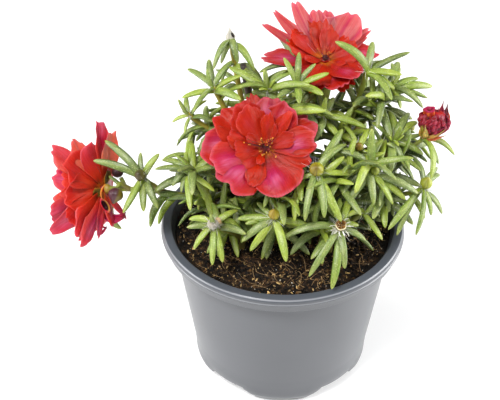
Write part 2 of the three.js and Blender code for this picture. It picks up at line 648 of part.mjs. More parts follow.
function spentSolid() {
  const { at, along, frame } = seatOf(WITHERED.on);
  const core = turned([[0, 0], [1.6, 0], [3, 2.6], [3.2, 6], [1.6, 10], [0, 11]], 7);
  const bodies = [solid(core.applyMatrix4(standing(at, along)))];
  for (const [clock, length, lean] of WITHERED.petals) {
    const way = clockDirection(frame, clock, 90 - lean);
    const outer = clockDirection(frame, clock, 90 - 0.4 * lean);
    const root = at.clone().addScaledVector(along, 1.5).addScaledVector(clockDirection(frame, clock, 0), 0.9);
    const middle = root.clone().addScaledVector(way, 0.5 * length);
    const tip = middle.clone().addScaledVector(outer, 0.5 * length);
    const side = along.clone().cross(clockDirection(frame, clock, 0));
    const line = new THREE.QuadraticBezierCurve3(root, middle, tip);
    bodies.push(bladeSolid({ line, side, width: WITHERED.halfWidth, length }));
  }
  return joined(bodies);
}

// ---- Pot and soil ----
// The pot's outer radius at a height on its body, and the inner one.
const bodyR = (z) => POT.lowR + ((POT.topR - POT.lowR) * (z - POT.lowZ)) / (POT.topZ - POT.lowZ);
const innerR = (z) => bodyR(z) - POT.wall;

function potSolid() {
  const feet = POT.footR - POT.footWidth;
  const floorTop = POT.floorZ + POT.floorThick;
  const profile = [
    [0, 0], [POT.padR, 0], [POT.padR + 1, POT.floorZ], [feet - 0.8, POT.floorZ], [feet, 0], [POT.footR, 0],
    [POT.footR + 1.6, 2.6], [POT.footR + 3.5, 5.8], [POT.lowR - 0.6, 10.5], [POT.lowR, POT.lowZ],
    [bodyR(POT.height - 2.5), POT.height - 2.5], [POT.skirtR - 1.3, POT.height - 2.5],
    [POT.skirtR - 1.3, POT.skirtZ], [POT.skirtR, POT.skirtZ], [POT.rimR - 1, 82.4], [POT.rimR, 82.8],
    [POT.rimR, POT.height - 0.6], [POT.rimR - 0.7, POT.height], [POT.mouthR, POT.height],
    [innerR(POT.height - 3.5), POT.height - 3.5], [innerR(POT.lowZ), POT.lowZ], [POT.footR - 2, floorTop], [0, floorTop],
  ];
  let pot = solid(turned(profile, POT.sides));
  const gapWidth = 2 * POT.footR * Math.sin(radians(POT.footGapAngle / 2));
  for (let i = 0; i < 4; i++) {
    const gap = new THREE.BoxGeometry(14, gapWidth, 2 * POT.footGapHeight);
    gap.translate(POT.footR - 2, 0, 0).rotateZ(radians(45 + 90 * i));
    const edgeGap = new THREE.BoxGeometry(10, gapWidth + 2, 2 * POT.edgeGapHeight);
    edgeGap.translate(POT.edgeGapR + 5, 0, 0).rotateZ(radians(45 + 90 * i));
    const notch = new THREE.BoxGeometry(14, POT.notchWidth, 2 * POT.notchHeight);
    notch.translate(POT.footR - 2, 0, 0).rotateZ(radians(90 * i));
    const drain = new THREE.CylinderGeometry(POT.drainR, POT.drainR, 3 * POT.floorThick, 8).rotateX(Math.PI / 2);
    drain.translate(POT.drainAt, 0, floorTop - POT.floorThick / 2).rotateZ(radians(45 + 90 * i));
    pot = pot.subtract(solid(gap)).subtract(solid(edgeGap)).subtract(solid(notch)).subtract(solid(drain));
  }
  return pot;
}

// The lumpy surface of the peat, as a height over its mean level.
function soilRelief(x, y) {
  const broad = Math.sin(0.13 * x + 0.4) * Math.sin(0.11 * y + 1.1);
  const crumb = Math.sin(0.47 * x + 2 + 0.2 * y) * Math.sin(0.53 * y + 0.7);
  return SOIL.relief * (0.6 * broad + 0.5 * crumb);
}

function soilSolid() {
  const bottom = POT.floorZ + POT.floorThick + CLEARANCE;
  const wallR = (z) => innerR(z) - CLEARANCE - 0.25;
  const profile = [[0, bottom], [POT.footR - 2.6, bottom], [wallR(POT.lowZ), POT.lowZ]];
  const edge = wallR(SOIL.z);
  for (let i = 0; i < SOIL.rings; i++) profile.push([(edge * (SOIL.rings - i)) / SOIL.rings, SOIL.z]);
  profile.push([0, SOIL.z]);
  const geometry = turned(profile, SOIL.sides);
  const position = geometry.getAttribute("position");
  for (let i = 0; i < position.count; i++) {
    const [x, y, z] = [position.getX(i), position.getY(i), position.getZ(i)];
    const inward = 1 - (Math.hypot(x, y) / edge) ** 6;
    if (z > SOIL.z - 0.1) position.setZ(i, z + inward * soilRelief(x, y));
  }
  let soil = solid(geometry);
  for (const plant of PLANTS) {
    const depth = STEM.rootDepth + CLEARANCE + 6;
    const hole = new THREE.CylinderGeometry(STEM.radius + 0.9, STEM.radius + 0.9, depth, 6).rotateX(Math.PI / 2);
    hole.translate(plant.root[0], plant.root[1], SOIL.z - STEM.rootDepth - CLEARANCE + depth / 2);
    soil = soil.subtract(solid(hole));
  }
  return soil;
}

// ---- Assembly ----
layStems();
keepStems();
keepPetals();
keepHeads();
growTips();
growAlong();

const part = new THREE.Group();
part.add(meshOf("pot", potSolid(), 0x8a8c90, 0.42));
part.add(meshOf("soil", soilSolid(), 0x3a281a, 0.95));
for (const plant of PLANTS) {
  const leaves = plant.leaves.map(bladeSolid);
  const colour = plant.name === "stem_left" ? OLD_STEM : GREEN;
  part.add(meshOf(plant.name, joined([...stemSolids(plant), ...leaves]), colour, 0.5));
}
for (const bloom of BLOOMS) {
  part.add(meshOf(bloom.name, bloomSolid(bloom), RED, 0.55));
  part.add(meshOf(bloom.name.replace("bloom", "stamens"), stamenSolid(bloom), YELLOW, 0.6));
}
for (const [name, plant, index, radius, height] of BUDS) {
  part.add(meshOf(name, budSolid(plant, index, radius, height), 0xa39a2e, 0.5));
}
part.add(meshOf("bloom_spent", spentSolid(), 0x9c1f3a, 0.6));
part.add(meshOf("seed_capsule", capsuleSolid(), 0xa8642a, 0.7));
part.add(meshOf("dry_cap", dryCapSolid(), 0xb9ad98, 0.8));

export default part;
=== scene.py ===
"""A moss rose (portulaca) in a round nursery pot: its finished surfaces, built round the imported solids.

Lengths in the tables and formulas are in millimetres, +Z up; `put` turns them into metres.
The origin is on the pot's axis at the level of its feet, and the pot's front faces -Y.
"""

import json
import math

import bpy
import numpy as np
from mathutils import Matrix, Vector

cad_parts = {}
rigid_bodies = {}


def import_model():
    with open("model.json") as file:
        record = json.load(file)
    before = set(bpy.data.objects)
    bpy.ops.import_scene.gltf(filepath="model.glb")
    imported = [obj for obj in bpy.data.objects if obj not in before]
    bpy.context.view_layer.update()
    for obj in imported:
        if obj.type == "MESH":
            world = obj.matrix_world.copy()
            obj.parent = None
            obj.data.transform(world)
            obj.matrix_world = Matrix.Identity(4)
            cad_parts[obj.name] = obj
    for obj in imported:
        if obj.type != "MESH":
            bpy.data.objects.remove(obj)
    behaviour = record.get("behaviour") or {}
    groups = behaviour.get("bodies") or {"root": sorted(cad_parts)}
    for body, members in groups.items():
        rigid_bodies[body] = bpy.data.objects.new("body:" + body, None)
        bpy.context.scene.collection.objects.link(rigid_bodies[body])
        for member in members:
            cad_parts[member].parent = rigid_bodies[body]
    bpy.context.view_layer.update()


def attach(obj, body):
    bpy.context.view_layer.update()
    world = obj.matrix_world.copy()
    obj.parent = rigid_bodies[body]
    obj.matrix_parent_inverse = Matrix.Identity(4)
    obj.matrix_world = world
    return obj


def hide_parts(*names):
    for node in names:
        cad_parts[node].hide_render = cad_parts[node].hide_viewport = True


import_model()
MM = 0.001

# ---- Driving dimensions, as in the part's source; the gaps between the feet are the finished surface's own ----
POT = dict(rim_r=60, height=85, mouth_r=54.7, skirt_r=58.2, skirt_z=77, wall=1.3, top_r=54, top_z=77, low_r=45.1,
           low_z=16, foot_r=40, foot_width=6, floor_z=3, floor_thick=2.2, foot_gap_height=2.8, edge_gap_height=7,
           notch_width=6, notch_height=0.7, pad_r=7.5, drain_r=3.5, drain_at=27)
# The middle of each gap in degrees from the pot's front or back, its half width and how much of that slopes.
GAP_AT, GAP_HALF, GAP_SLOPE = 39.3, 21.5, 9.5
FOOT_FLARE = 0.9
CLEARANCE = 0.3
SOIL_Z = 80.5
SOIL_RELIEF = 1.1
STEM = dict(radius=1.6, root_depth=9, cup_r=2.5, tip_reach=1.2)
LEAF = dict(half_width=2.1, full_length=18, in_stem=2.2, sunk=0.2, off_axis=0.9, stagger=1.3)
LEAF_GIRTH = ((0.3, 1.9), (0.5, 2.3), (0.7, 2.2), (0.9, 1.5))
OWN_GIRTH = 0.6
OWN_SHARE = 0.45
PETAL = dict(start=1.3, cup=0.14, ruffle=0.8)
RECEPTACLE = dict(low=1.5, high=2.5, height=3.2)
# How far a leaf may be turned and lifted, in degrees, until it stands clear of the rest.
TURNS = (0, 12, -12, 24, -24, 36, -36)
LIFTS = (0, 16, -14)
HEART = dict(length=9, lift=74)
GOLDEN = 137.5
DOWN = np.array((0.0, 0.0, -1.0))
UP = np.array((0.0, 0.0, 1.0))
CLOCK_UP = np.array((0.0, 0.61, 0.79))


def shoot(to, axis, lift, droop, along=0, leaves=(), whorls=(), grows_from=None, cup=False, heart=False,
          ring=(0, 0)):
    """One shoot of a plant, as in the part's source: where it ends, how it ends, and the leaves on it."""
    return dict(to=np.array(to, float), axis=np.array(axis, float), lift=lift, droop=droop, along=along,
                leaves=leaves, whorls=whorls, grows_from=grows_from, cup=cup, heart=heart, ring=ring)


# ---- The plants: one leafy, branched stem each, as (name, root, shoots) ----
PLANTS = [
    ("stem_front_capsule", (22, -20), [
        shoot((25, -36, 109), (0.05, -0.6, 0.8), 12, 0.8, 2,
              [(175, 27), (75, 20), (260, 27), (230, 26), (277, 18), (350, 13)]),
        shoot((37, -24, 108), (0.5, -0.5, 0.7), 20, 0.6, 1, [(300, 14), (15, 12), (70, 13), (150, 11)],
              grows_from=(0, 0.5), heart=True),
    ]),
    ("stem_front_middle", (-3, -12), [
        shoot((-5, -33, 112), (-0.05, -0.6, 0.8), 10, 0.5, 1,
              [(170, 16), (208, 17), (228, 17), (300, 20), (322, 18), (125, 11), (50, 13)],
              [(0.5, [(245, 16), (325, 20), (20, 14)])]),
        shoot((-9.4, -12.2, 135.5), (0.05, -0.62, 0.78), 20, 0.3, 5, grows_from=(0, 0.3), cup=True),
    ]),
    ("stem_front_left", (-20, -16), [
        shoot((-33, -33, 108), (-0.1, -0.6, 0.8), 15, 0.7, 3,
              [(225, 13), (270, 17), (288, 16), (35, 13), (150, 12), (95, 12)], heart=True),
    ]),
    ("stem_left", (-24, -4), [
        shoot((-84.5, 0, 104.3), (-0.87, 0.4, -0.3), 25, 0.6, 0,
              whorls=[(0.54, [(316, 17), (20, 12)]), (0.6, [(305, 18)]), (0.9, [(275, 22), (60, 9)])], cup=True),
        shoot((-67, -8, 117), (-0.2, -0.6, 0.8), 24, 0.5, 0,
              [(128, 25), (152, 25), (95, 12), (248, 19), (280, 16), (305, 16), (355, 10), (60, 13)],
              grows_from=(0, 0.62)),
        shoot((-45, -5, 120), (-0.1, -0.4, 0.9), 20, 0.6, 2,
              [(90, 16), (50, 12), (145, 15), (230, 11), (257, 12), (355, 12), (15, 12), (278, 22)],
              grows_from=(0, 0.3), heart=True),
        shoot((-79, -5, 110), (-0.25, -0.75, -0.6), 0, 0, grows_from=(0, 0.84)),
        shoot((-78.3, 4.2, 106.5), (-0.45, 0.35, 0.8), 0, 0, grows_from=(0, 0.86)),
    ]),
    ("stem_front_right", (14, -7), [
        shoot((14, -24, 132), (0, -0.6, 0.8), 12, 0.5, 3,
              [(255, 23), (300, 24), (65, 25), (88, 19), (175, 8), (10, 15), (280, 21)]),
        shoot((41, -18, 126), (0.15, -0.6, 0.8), 12, 0.5, 2,
              [(105, 16), (60, 19), (185, 15), (220, 18), (345, 22), (330, 18), (305, 15)], grows_from=(0, 0.3)),
        shoot((34, -8, 133), (0.1, -0.5, 0.85), 15, 0.4, 2,
              [(65, 11), (110, 14), (175, 10), (330, 10), (260, 13)], grows_from=(0, 0.45)),
    ]),
    ("stem_right", (31, -3), [
        shoot((51, -2, 134), (0.25, -0.5, 0.85), 15, 0.5, 3,
              [(20, 16), (345, 15), (88, 16), (62, 18), (125, 12), (225, 18), (285, 12)], heart=True),
        shoot((65, -15, 116), (0.4, -0.5, 0.8), 10, 0.7, 2,
              [(97, 20), (45, 16), (318, 15), (245, 23), (212, 28), (190, 25), (283, 12)], grows_from=(0, 0.2)),
        shoot((66, 3, 132.5), (0.45, 0, 0.9), 10, 1.2, 0, [(245, 22), (278, 14)], grows_from=(0, 0.72), cup=True),
    ]),
    ("stem_upper_left", (-15, 5), [
        shoot((-33, 12, 154), (-0.35, -0.25, 0.9), 28, 0.3, 3,
              [(145, 16), (105, 15), (205, 15), (60, 14), (20, 14), (335, 20), (262, 18)], heart=True),
        shoot((-45, 12, 139), (-0.5, -0.3, 0.8), 15, 0.6, 2, [(110, 12), (270, 8), (0, 11), (190, 9), (60, 10)],
              [(0.6, [(105, 14), (175, 9), (265, 13), (350, 10)])], grows_from=(0, 0.5), heart=True),
    ]),
    ("stem_top_left", (-13, 17), [
        shoot((-25, 30, 169), (-0.1, -0.1, 1), 25, 2.2, 4,
              [(246, 22), (262, 14), (322, 22), (295, 15)],
              [(0.86, [(235, 12), (320, 20), (345, 20)]), (0.72, [(342, 18), (170, 13)])]),
    ]),
    ("stem_top", (3, 12), [
        shoot((19.2, 28.2, 157.2), (0.05, -0.38, 0.92), 25, 0.4, 4, cup=True),
        shoot((6, 5, 160), (0, -0.4, 0.9), 30, 0.2, 2,
              [(118, 13), (88, 15), (45, 13), (15, 14), (325, 14), (220, 13), (270, 14)],
              grows_from=(0, 0.5), heart=True),
        shoot((-8, 8, 156), (-0.1, -0.3, 0.9), 25, 0.3, 2,
              [(137, 20), (122, 14), (55, 13), (35, 12), (315, 17), (335, 24), (200, 14)],
              grows_from=(0, 0.4), heart=True),
        shoot((18, 4, 144), (0.1, -0.4, 0.9), 15, 0.5, 2, [(315, 20), (95, 13), (65, 13), (180, 12), (245, 14)],
              grows_from=(0, 0.3), heart=True),
    ]),
    ("stem_top_right", (25, 13), [
        shoot((38, 12, 163), (0.1, -0.35, 0.9), 32, 0.35, 4,
              [(150, 20), (112, 17), (24, 22), (340, 16), (292, 22), (318, 15), (215, 12)], heart=True),
        shoot((51, 18, 151), (0.4, -0.2, 0.9), 20, 0.3, 3,
              [(18, 15), (0, 21), (340, 18), (312, 16), (265, 12), (60, 19)], grows_from=(0, 0.4), heart=True),
    ]),
    ("stem_back_left", (-27, 21), [
        shoot((-36, 36, 115), (-0.4, 0.45, 0.8), 18, 0.5, 2, heart=True, ring=(6, 15)),
        shoot((-42, 25, 100), (-0.6, 0.3, 0.7), 15, 0.6, 1, grows_from=(0, 0.35), heart=True, ring=(5, 13)),
        shoot((-24, 46, 112), (-0.2, 0.7, 0.7), 15, 0.6, 0, grows_from=(0, 0.25), heart=True, ring=(4, 17)),
    ]),
    ("stem_back", (2, 32), [
        shoot((0, 50, 121), (0, 0.5, 0.85), 18, 0.5, 1, ring=(7, 18)),
        shoot((17, 58, 110), (0.3, 0.7, 0.6), 12, 0.6, 0, grows_from=(0, 0.3), heart=True, ring=(6, 16)),
    ]),
    ("stem_back_right", (27, 29), [
        shoot((41, 42, 132), (0.3, 0.45, 0.85), 18, 0.5, 2, heart=True, ring=(7, 18)),
        shoot((61, 30, 117), (0.7, 0.3, 0.65), 14, 0.6, 1, grows_from=(0, 0.3), ring=(6, 17)),
    ]),
]

# Petals as (clock direction, length, half width, raise above the bloom's flat plane), from the outer ring in.
BLOOMS = [
    dict(name="bloom_front", on=("stem_front_middle", 1), bend=8, petals=[
        (347, 22, 7, 12), (7, 24, 7, 16), (24, 26, 6.5, 6), (43, 25, 6, 0), (60, 22, 7.5, 15), (82, 23, 8.5, 12),
        (104, 26, 5, 3), (121, 23, 8, 15), (144, 27, 9, 10), (182, 30, 9, 8), (200, 27, 8, 15), (226, 27, 11, 8),
        (254, 18, 7, 12), (292, 25, 10.5, 10), (65, 13, 4, 42), (150, 12, 4, 46), (250, 11, 3.5, 48)]),
    dict(name="bloom_top", on=("stem_top", 0), bend=8, petals=[
        (175, 29, 6, 0), (147, 33, 4, 6), (132, 33, 4.5, 6), (119, 31, 6.5, 22), (97, 27, 6, 12), (84, 27, 6.5, 5),
        (60, 28, 11, 10), (38, 28, 5, 3), (18, 27, 8, -6), (306, 24, 7.5, 28), (283, 24, 6.5, 20),
        (258, 20, 7, 20), (225, 19, 7, 20), (90, 17, 4.5, 42), (200, 13, 4, 44), (330, 13, 4, 46)]),
    dict(name="bloom_left", on=("stem_left", 0), bend=7, petals=[
        (83, 33, 6, 0), (95, 28, 7, -8), (76, 28, 6, 30), (57, 32, 6, 45), (29, 24, 6, 56), (45, 22, 9, 25),
        (68, 23, 7, 10), (347, 20, 8, 25), (325, 25, 5.5, 55), (313, 30, 6, 50), (302, 31, 5, 38), (300, 28, 9, 8),
        (296, 31, 4.5, 5), (288, 24, 3, -5), (244, 17, 5, -30), (275, 19, 5.5, -20), (150, 25, 8, 24),
        (190, 25, 8, 32), (225, 25, 7, 26)]),
]

# Buds as (name, plant, shoot, largest radius, height).
BUDS = [
    ("bud_left", "stem_left", 1, 2.8, 5.2), ("bud_bloom_left_a", "stem_left", 3, 3.3, 8),
    ("bud_bloom_left_b", "stem_left", 4, 2.6, 7), ("bud_front_middle", "stem_front_middle", 0, 2.7, 5),
    ("bud_middle", "stem_front_right", 0, 3.4, 6), ("bud_small", "stem_front_right", 1, 2.1, 4.2),
    ("bud_inner", "stem_front_right", 2, 2.2, 4.4), ("bud_right", "stem_right", 1, 3, 5.4),
    ("bud_back", "stem_back", 0, 2.6, 5), ("bud_back_right", "stem_back_right", 1, 2.6, 5),
]

# Where the capsule, the dry cap and the withered bloom sit.
CAPSULE_ON, CAP_ON, SPENT_ON = ("stem_front_capsule", 0), ("stem_top_left", 0), ("stem_right", 2)


# ---- Small helpers ----
def colour(red, green, blue):
    """A screen colour from 0 to 255 as linear light."""
    c = np.array((red, green, blue)) / 255
    return np.where(c <= 0.04045, c / 12.92, ((c + 0.055) / 1.055) ** 2.4)


def unit(v):
    """Each vector divided by its length."""
    v = np.asarray(v, float)
    return v / np.maximum(np.linalg.norm(v, axis=-1, keepdims=True), 1e-12)


def smooth(low, high, x):
    """A soft step: 0 below low, 1 above high, and 3x^2 - 2x^3 between."""
    x = np.clip((x - low) / (high - low), 0, 1)
    return x * x * (3 - 2 * x)


def mixed(a, b, share):
    """a where share is 0 and b where it is 1; share may be an array over points."""
    share = np.asarray(share)[..., None]
    return a * (1 - share) + b * share


def layered(base, *layers):
    """A colour with others laid over it in turn, as (colour, share)."""
    for tint, share in layers:
        base = mixed(base, tint, share)
    return base


def hump(x, middle, width):
    """A bell curve: 1 at the middle and 1/e at its width from there."""
    return np.exp(-((x - middle) / width) ** 2)


def circle(around):
    """Angles evenly round a circle."""
    return np.linspace(0, 2 * math.pi, around, endpoint=False)


def wheel(axis, around):
    """Unit vectors evenly round an axis."""
    first, a = unit(np.cross(axis, (0.3, 0.9, 0.1))), circle(around)[:, None]
    return np.cos(a) * first + np.sin(a) * np.cross(axis, first)


def clock_frame(axis):
    """Right, up and outward unit vectors of a shoot whose tip points along axis."""
    out = unit(axis)
    up = unit(CLOCK_UP - out * (CLOCK_UP @ out))
    return np.cross(up, out), up, out


def clock_direction(axes, clock, lift=0):
    """The direction at a clock angle in the plane across a shoot, lifted towards its axis."""
    right, up, out = axes
    c, l = math.radians(clock), math.radians(lift)
    return (right * math.cos(c) + up * math.sin(c)) * math.cos(l) + out * math.sin(l)


def cubic(line, t):
    """Points of a cubic curve with four control points, at the parameters t."""
    t = np.asarray(t, float)[..., None]
    return ((1 - t) ** 3 * line[0] + 3 * (1 - t) ** 2 * t * line[1] + 3 * (1 - t) * t * t * line[2]
            + t ** 3 * line[3])


def quadratic(line, t):
    """Points of a quadratic curve with three control points, at the parameters t."""
    t = np.asarray(t, float)[..., None]
    return (1 - t) ** 2 * line[0] + 2 * (1 - t) * t * line[1] + t * t * line[2]


def heading(line, t):
    """The direction of a cubic curve at t, from two points close on either side."""
    ends = cubic(line, np.clip((t - 1e-4, t + 1e-4), 0, 1))
    return unit(ends[1] - ends[0])


class Draws:
    """The seeded row of draws between 0 and 1 that the part's source uses."""

    def __init__(self):
        self.seed = 7

    def next(self):
        self.seed = (self.seed * 1664525 + 1013904223) % 4294967296
        return self.seed / 4294967296


# ---- Where everything grows, by the same rules as the solids ----
def lay_stems():
    """Gives each shoot its centre line: a cubic from its root, or its parent's line, that ends along its axis."""
    for _, root, shoots in PLANTS:
        for s in shoots:
            start, along, out = np.array((*root, SOIL_Z + 1.0)), UP, unit(s["axis"])
            if s["grows_from"]:
                index, share = s["grows_from"]
                parent = shoots[index]["line"]
                start = cubic(parent, share)
                along = unit(unit(s["to"] - start) * 1.6 + heading(parent, share))
            reach = 0.35 * np.linalg.norm(s["to"] - start)
            s["axis"], s["frame"] = out, clock_frame(out)
            s["line"] = np.array((start, start + along * reach, s["to"] - out * reach, s["to"]))
            steps = cubic(s["line"], np.linspace(0, 1, 201))
            s["length"] = np.linalg.norm(np.diff(steps, axis=0), axis=1).sum()


def every_shoot():
    """Each shoot with its plant's name and its index."""
    return [(name, index, s) for name, _, shoots in PLANTS for index, s in enumerate(shoots)]


def seat_of(on):
    """Where a head sits, its axis and its clock frame: just above the tip of the shoot named by plant and index."""
    s = next(s for name, index, s in every_shoot() if (name, index) == on)
    return s["to"] + s["axis"] * (STEM["tip_reach"] + CLEARANCE), s["axis"], s["frame"]


def petal_surface(bloom, petal, order):
    """A petal's middle surface as a function of s, from claw to edge, and q, from side to side.

    It bends from a lower to a higher raise along a quadratic curve, is as wide as a quarter sine lets it be,
    is cupped by a share of w q^2, waved by a sine that grows with s^2, and its edge is rounded and notched.
    """
    clock, length, half_width, lift = petal
    at, along, axes = seat_of(bloom["on"])
    out = clock_direction(axes, clock)
    side = np.cross(along, out)
    centre = at + along * (0.9 + 0.022 * max(0, lift) + 0.4 * (order % 3))
    low, high = math.radians(lift - bloom["bend"]), math.radians(lift + bloom["bend"])
    middle = 0.5 * length * np.array((math.cos(low), math.sin(low)))
    tip = middle + 0.5 * length * np.array((math.cos(high), math.sin(high)))

    def surface(s, q):
        u = s * (1 - 0.24 * np.abs(q) ** 2.6 - 0.09 * hump(q, 0, 0.25))
        ground = middle * (2 * u * (1 - u))[..., None] + tip * (u * u)[..., None]
        w = half_width * (0.12 + 0.88 * np.sin(math.pi / 2 * np.minimum(1, u / 0.74)))
        wave = PETAL["ruffle"] * np.sin(3.1 * q + clock) * s * s * half_width / 10
        height = ground[..., 1] + PETAL["cup"] * w * q * q + wave
        return (centre + out * (PETAL["start"] + ground[..., 0])[..., None] + side * (w * q)[..., None]
                + along * height[..., None])

    return surface


def clear_of_pot(p, radius):
    """Whether a point with some radius is clear of the soil and of the pot's wall and rim."""
    r = math.hypot(p[0], p[1])
    if r < POT["mouth_r"] - 2 - radius:
        return p[2] > SOIL_Z + 0.8 + radius
    return r > POT["rim_r"] + 0.6 + radius or p[2] > POT["height"] + 0.6 + radius


def leaf_at(s, share, axes, clock, length, lift, droop, order):
    """A leaf: its midrib leaves the shoot along the lifted clock direction and droops in its outer half."""
    flat, first = clock_direction(axes, clock), clock_direction(axes, clock, lift)
    second = unit(first + DOWN * droop)
    back = (LEAF["sunk"] + LEAF["stagger"] * (order % 3)) / s["length"]
    root = cubic(s["line"], share - back) - flat * LEAF["off_axis"]
    half = 0.5 * (length + LEAF["in_stem"])
    middle = root + first * half
    width = LEAF["half_width"] * min(1, 0.5 + 0.5 * length / LEAF["full_length"])
    return dict(line=np.array((root, middle, middle + second * half)), side=np.cross(axes[2], flat), width=width,
                length=length)


class Crown:
    """The leaves by plant, and balls that stand for what is already placed, each with its owner's number and
    whether it is a leaf's outer part."""

    def __init__(self, room=9000):
        self.count = 0
        self.centres, self.sizes = np.zeros((room, 3)), np.zeros(room)
        self.owners, self.outer = np.zeros(room, int), np.zeros(room, bool)
        self.names = {}
        self.leaves = {name: [] for name, _, _ in PLANTS}

    def number(self, name):
        """An owner's number, given when it is first named."""
        return self.names.setdefault(name, len(self.names))

    def keep(self, centre, size, name, outer=False):
        """Puts down one ball."""
        i, self.count = self.count, self.count + 1
        self.centres[i], self.sizes[i], self.outer[i], self.owners[i] = centre, size, outer, self.number(name)

    def is_clear(self, leaf, name, ease):
        """Whether a leaf is clear of the pot, of other owners' balls, and of the outer parts of its own plant's."""
        n, own = self.count, self.number(name)
        for share, girth in LEAF_GIRTH:
            p = quadratic(leaf["line"], share)
            radius = girth * leaf["width"] / LEAF["half_width"]
            if not clear_of_pot(p, radius * 0.6):
                return False
            apart = (radius + self.sizes[:n] + CLEARANCE) * ease
            far = np.linalg.norm(self.centres[:n] - p, axis=1)
            other = self.owners[:n] != own
            if np.any(other & (far < apart)):
                return False
            if share > OWN_SHARE and np.any(~other & self.outer[:n] & (far < OWN_GIRTH * apart)):
                return False
        return True

    def keep_leaf(self, leaf, name):
        """Adds a leaf to its plant, with balls along it."""
        self.leaves[name].append(leaf)
        for share, girth in LEAF_GIRTH:
            self.keep(quadratic(leaf["line"], share), girth * leaf["width"] / LEAF["half_width"], name,
                      share > OWN_SHARE)

    def place(self, name, s, share, axes, leaf, lift, droop, order=0, ease=None):
        """Turns and lifts a leaf until it stands clear of the rest, or leaves it out. With ease, it may stand
        that much closer, and has to leave the blooms in view."""
        for more in LIFTS:
            for turn in TURNS:
                made = leaf_at(s, share, axes, leaf[0] + turn, leaf[1], lift + more, droop, order)
                if self.is_clear(made, name, ease or 1) and (not ease or leaf_shows(made)):
                    self.keep_leaf(made, name)
                    return


EYE = np.array((-16.1, -475.4, 463.4))
CAMERA_TARGET = np.array((-16.1, 0, 97.3))
SHOWN = []
# Openings in the crown as seen from the front, as (across, up, radius) from the camera's target.
OPENINGS = [(-39, 34, 11), (-50, 28, 8), (-21, 47, 4), (40, 50, 3), (73, 35, 3.4), (72, 46, 3), (-41, 12, 3.4),
            (-63, 25, 7)]
# Tips with many white hairs, the spacing of side shoots on the sparser plants, and the low side shoots of each.
HAIRY = {CAPSULE_ON, ("stem_front_right", 0), ("stem_front_middle", 0), ("stem_left", 1), ("stem_right", 1)}
SIDE_SPACING = {"stem_left": 30, "stem_upper_left": 60, "stem_top_left": 60, "stem_front_capsule": 40,
                "stem_front_left": 40}
LOW_SHOOTS = {"stem_front_middle": 4, "stem_front_right": 4, "stem_left": 3, "stem_upper_left": 4, "stem_right": 3,
              "stem_top": 2, "stem_front_left": 1}
# Side shoots: their parent's shortest length, where along it they start and how far apart, and where they may end:
# above a height, within a distance from the pot's axis, and behind a plane in front of it.
SIDE = dict(parent=25, first=0.38, last=0.86, spacing=11, lowest=96, reach=62, front=-27)
LOW_REACH, LOW_FRONT = 42, -19
# Fine leaves: how many in a tuft and at a tip, their spacing along shoots, and how much closer each may stand.
TUFT_LEAVES, TIP_LEAVES, ALONG_STEP, SPARSE_STEP = 8, 3, 7, 22
TUFT_EASE, TIP_EASE, ALONG_EASE = 0.55, 0.4, 0.7
# Leaves that only the finished surface has, as (plant, three points of the midrib, half width).
HANGING = [("stem_left", ((-82.5, 0, 102), (-84.6, -3, 88), (-79.8, -4, 80.6)), 2.3),
           ("stem_left", ((-44, -5, 119), (-37.6, -14, 114), (-34.1, -19, 101.4)), 2.6)]


def note_shown():
    """Lists the heads that stay in view from the front, with the radius kept clear round each."""
    heads = [(bloom["on"], 5, 25) for bloom in BLOOMS] + [(SPENT_ON, 5, 9), (CAPSULE_ON, 5, 4)]
    heads += [((plant, index), height / 2, radius) for _, plant, index, radius, height in BUDS]
    for on, up, radius in heads:
        at, along, _ = seat_of(on)
        SHOWN.append((at + along * up, radius))


def grow():
    """All leaves by plant: those at the tips and whorls first, then those along the bare stretches."""
    crown, draws = Crown(), Draws()
    for name, _, s in every_shoot():
        count = math.ceil(s["length"] / 4)
        for p in cubic(s["line"], np.arange(count + 1) / count):
            crown.keep(p, STEM["radius"], name)
    s, q = np.meshgrid((0.35, 0.6, 0.85, 1), (-0.8, -0.3, 0.3, 0.8), indexing="ij")
    for bloom in BLOOMS:
        for order, petal in enumerate(bloom["petals"]):
            for p in petal_surface(bloom, petal, order)(s, q).reshape(-1, 3):
                crown.keep(p, 2, bloom["name"])
    heads = [(name, (plant, index), height / 2, radius + 0.2) for name, plant, index, radius, height in BUDS]
    heads += [("bloom_spent", SPENT_ON, up, 4.5) for up in (4, 8, 12)] + [("seed_capsule", CAPSULE_ON, 2, 3)]
    for name, on, up, radius in heads:
        at, along, _ = seat_of(on)
        crown.keep(at + along * up, radius, name)

    for name, _, s in every_shoot():
        count, size = s["ring"]
        ring = [(360 * i / count + 20 * draws.next(), size * (0.8 + 0.4 * draws.next())) for i in range(count)]
        for share, leaves in [(1, s["leaves"]), (1, ring), *s["whorls"]]:
            for order, leaf in enumerate(leaves):
                crown.place(name, s, share, s["frame"], leaf, s["lift"], s["droop"], order)
        if s["heart"]:
            crown.place(name, s, 1, s["frame"], (90, HEART["length"]), HEART["lift"], 0)
    for name, _, s in every_shoot():
        low = 0.3 if s["grows_from"] else 0.25
        for i in range(s["along"]):
            share = low + (0.84 - low) * (i + 0.6 * draws.next()) / s["along"]
            leaf = (60 + GOLDEN * i + 40 * draws.next(), 13 + 6 * draws.next())
            crown.place(name, s, share, clock_frame(heading(s["line"], share)), leaf, 32, 0.5)
    return crown


def in_an_opening(p):
    """Whether a point lies on a line of sight from the front through one of the openings in the crown."""
    for across, up, radius in OPENINGS:
        way = CAMERA_TARGET + np.array((across, 0, 0)) + CLOCK_UP * up - EYE
        if np.linalg.norm(np.cross(p - EYE, unit(way))) < radius:
            return True
    return False


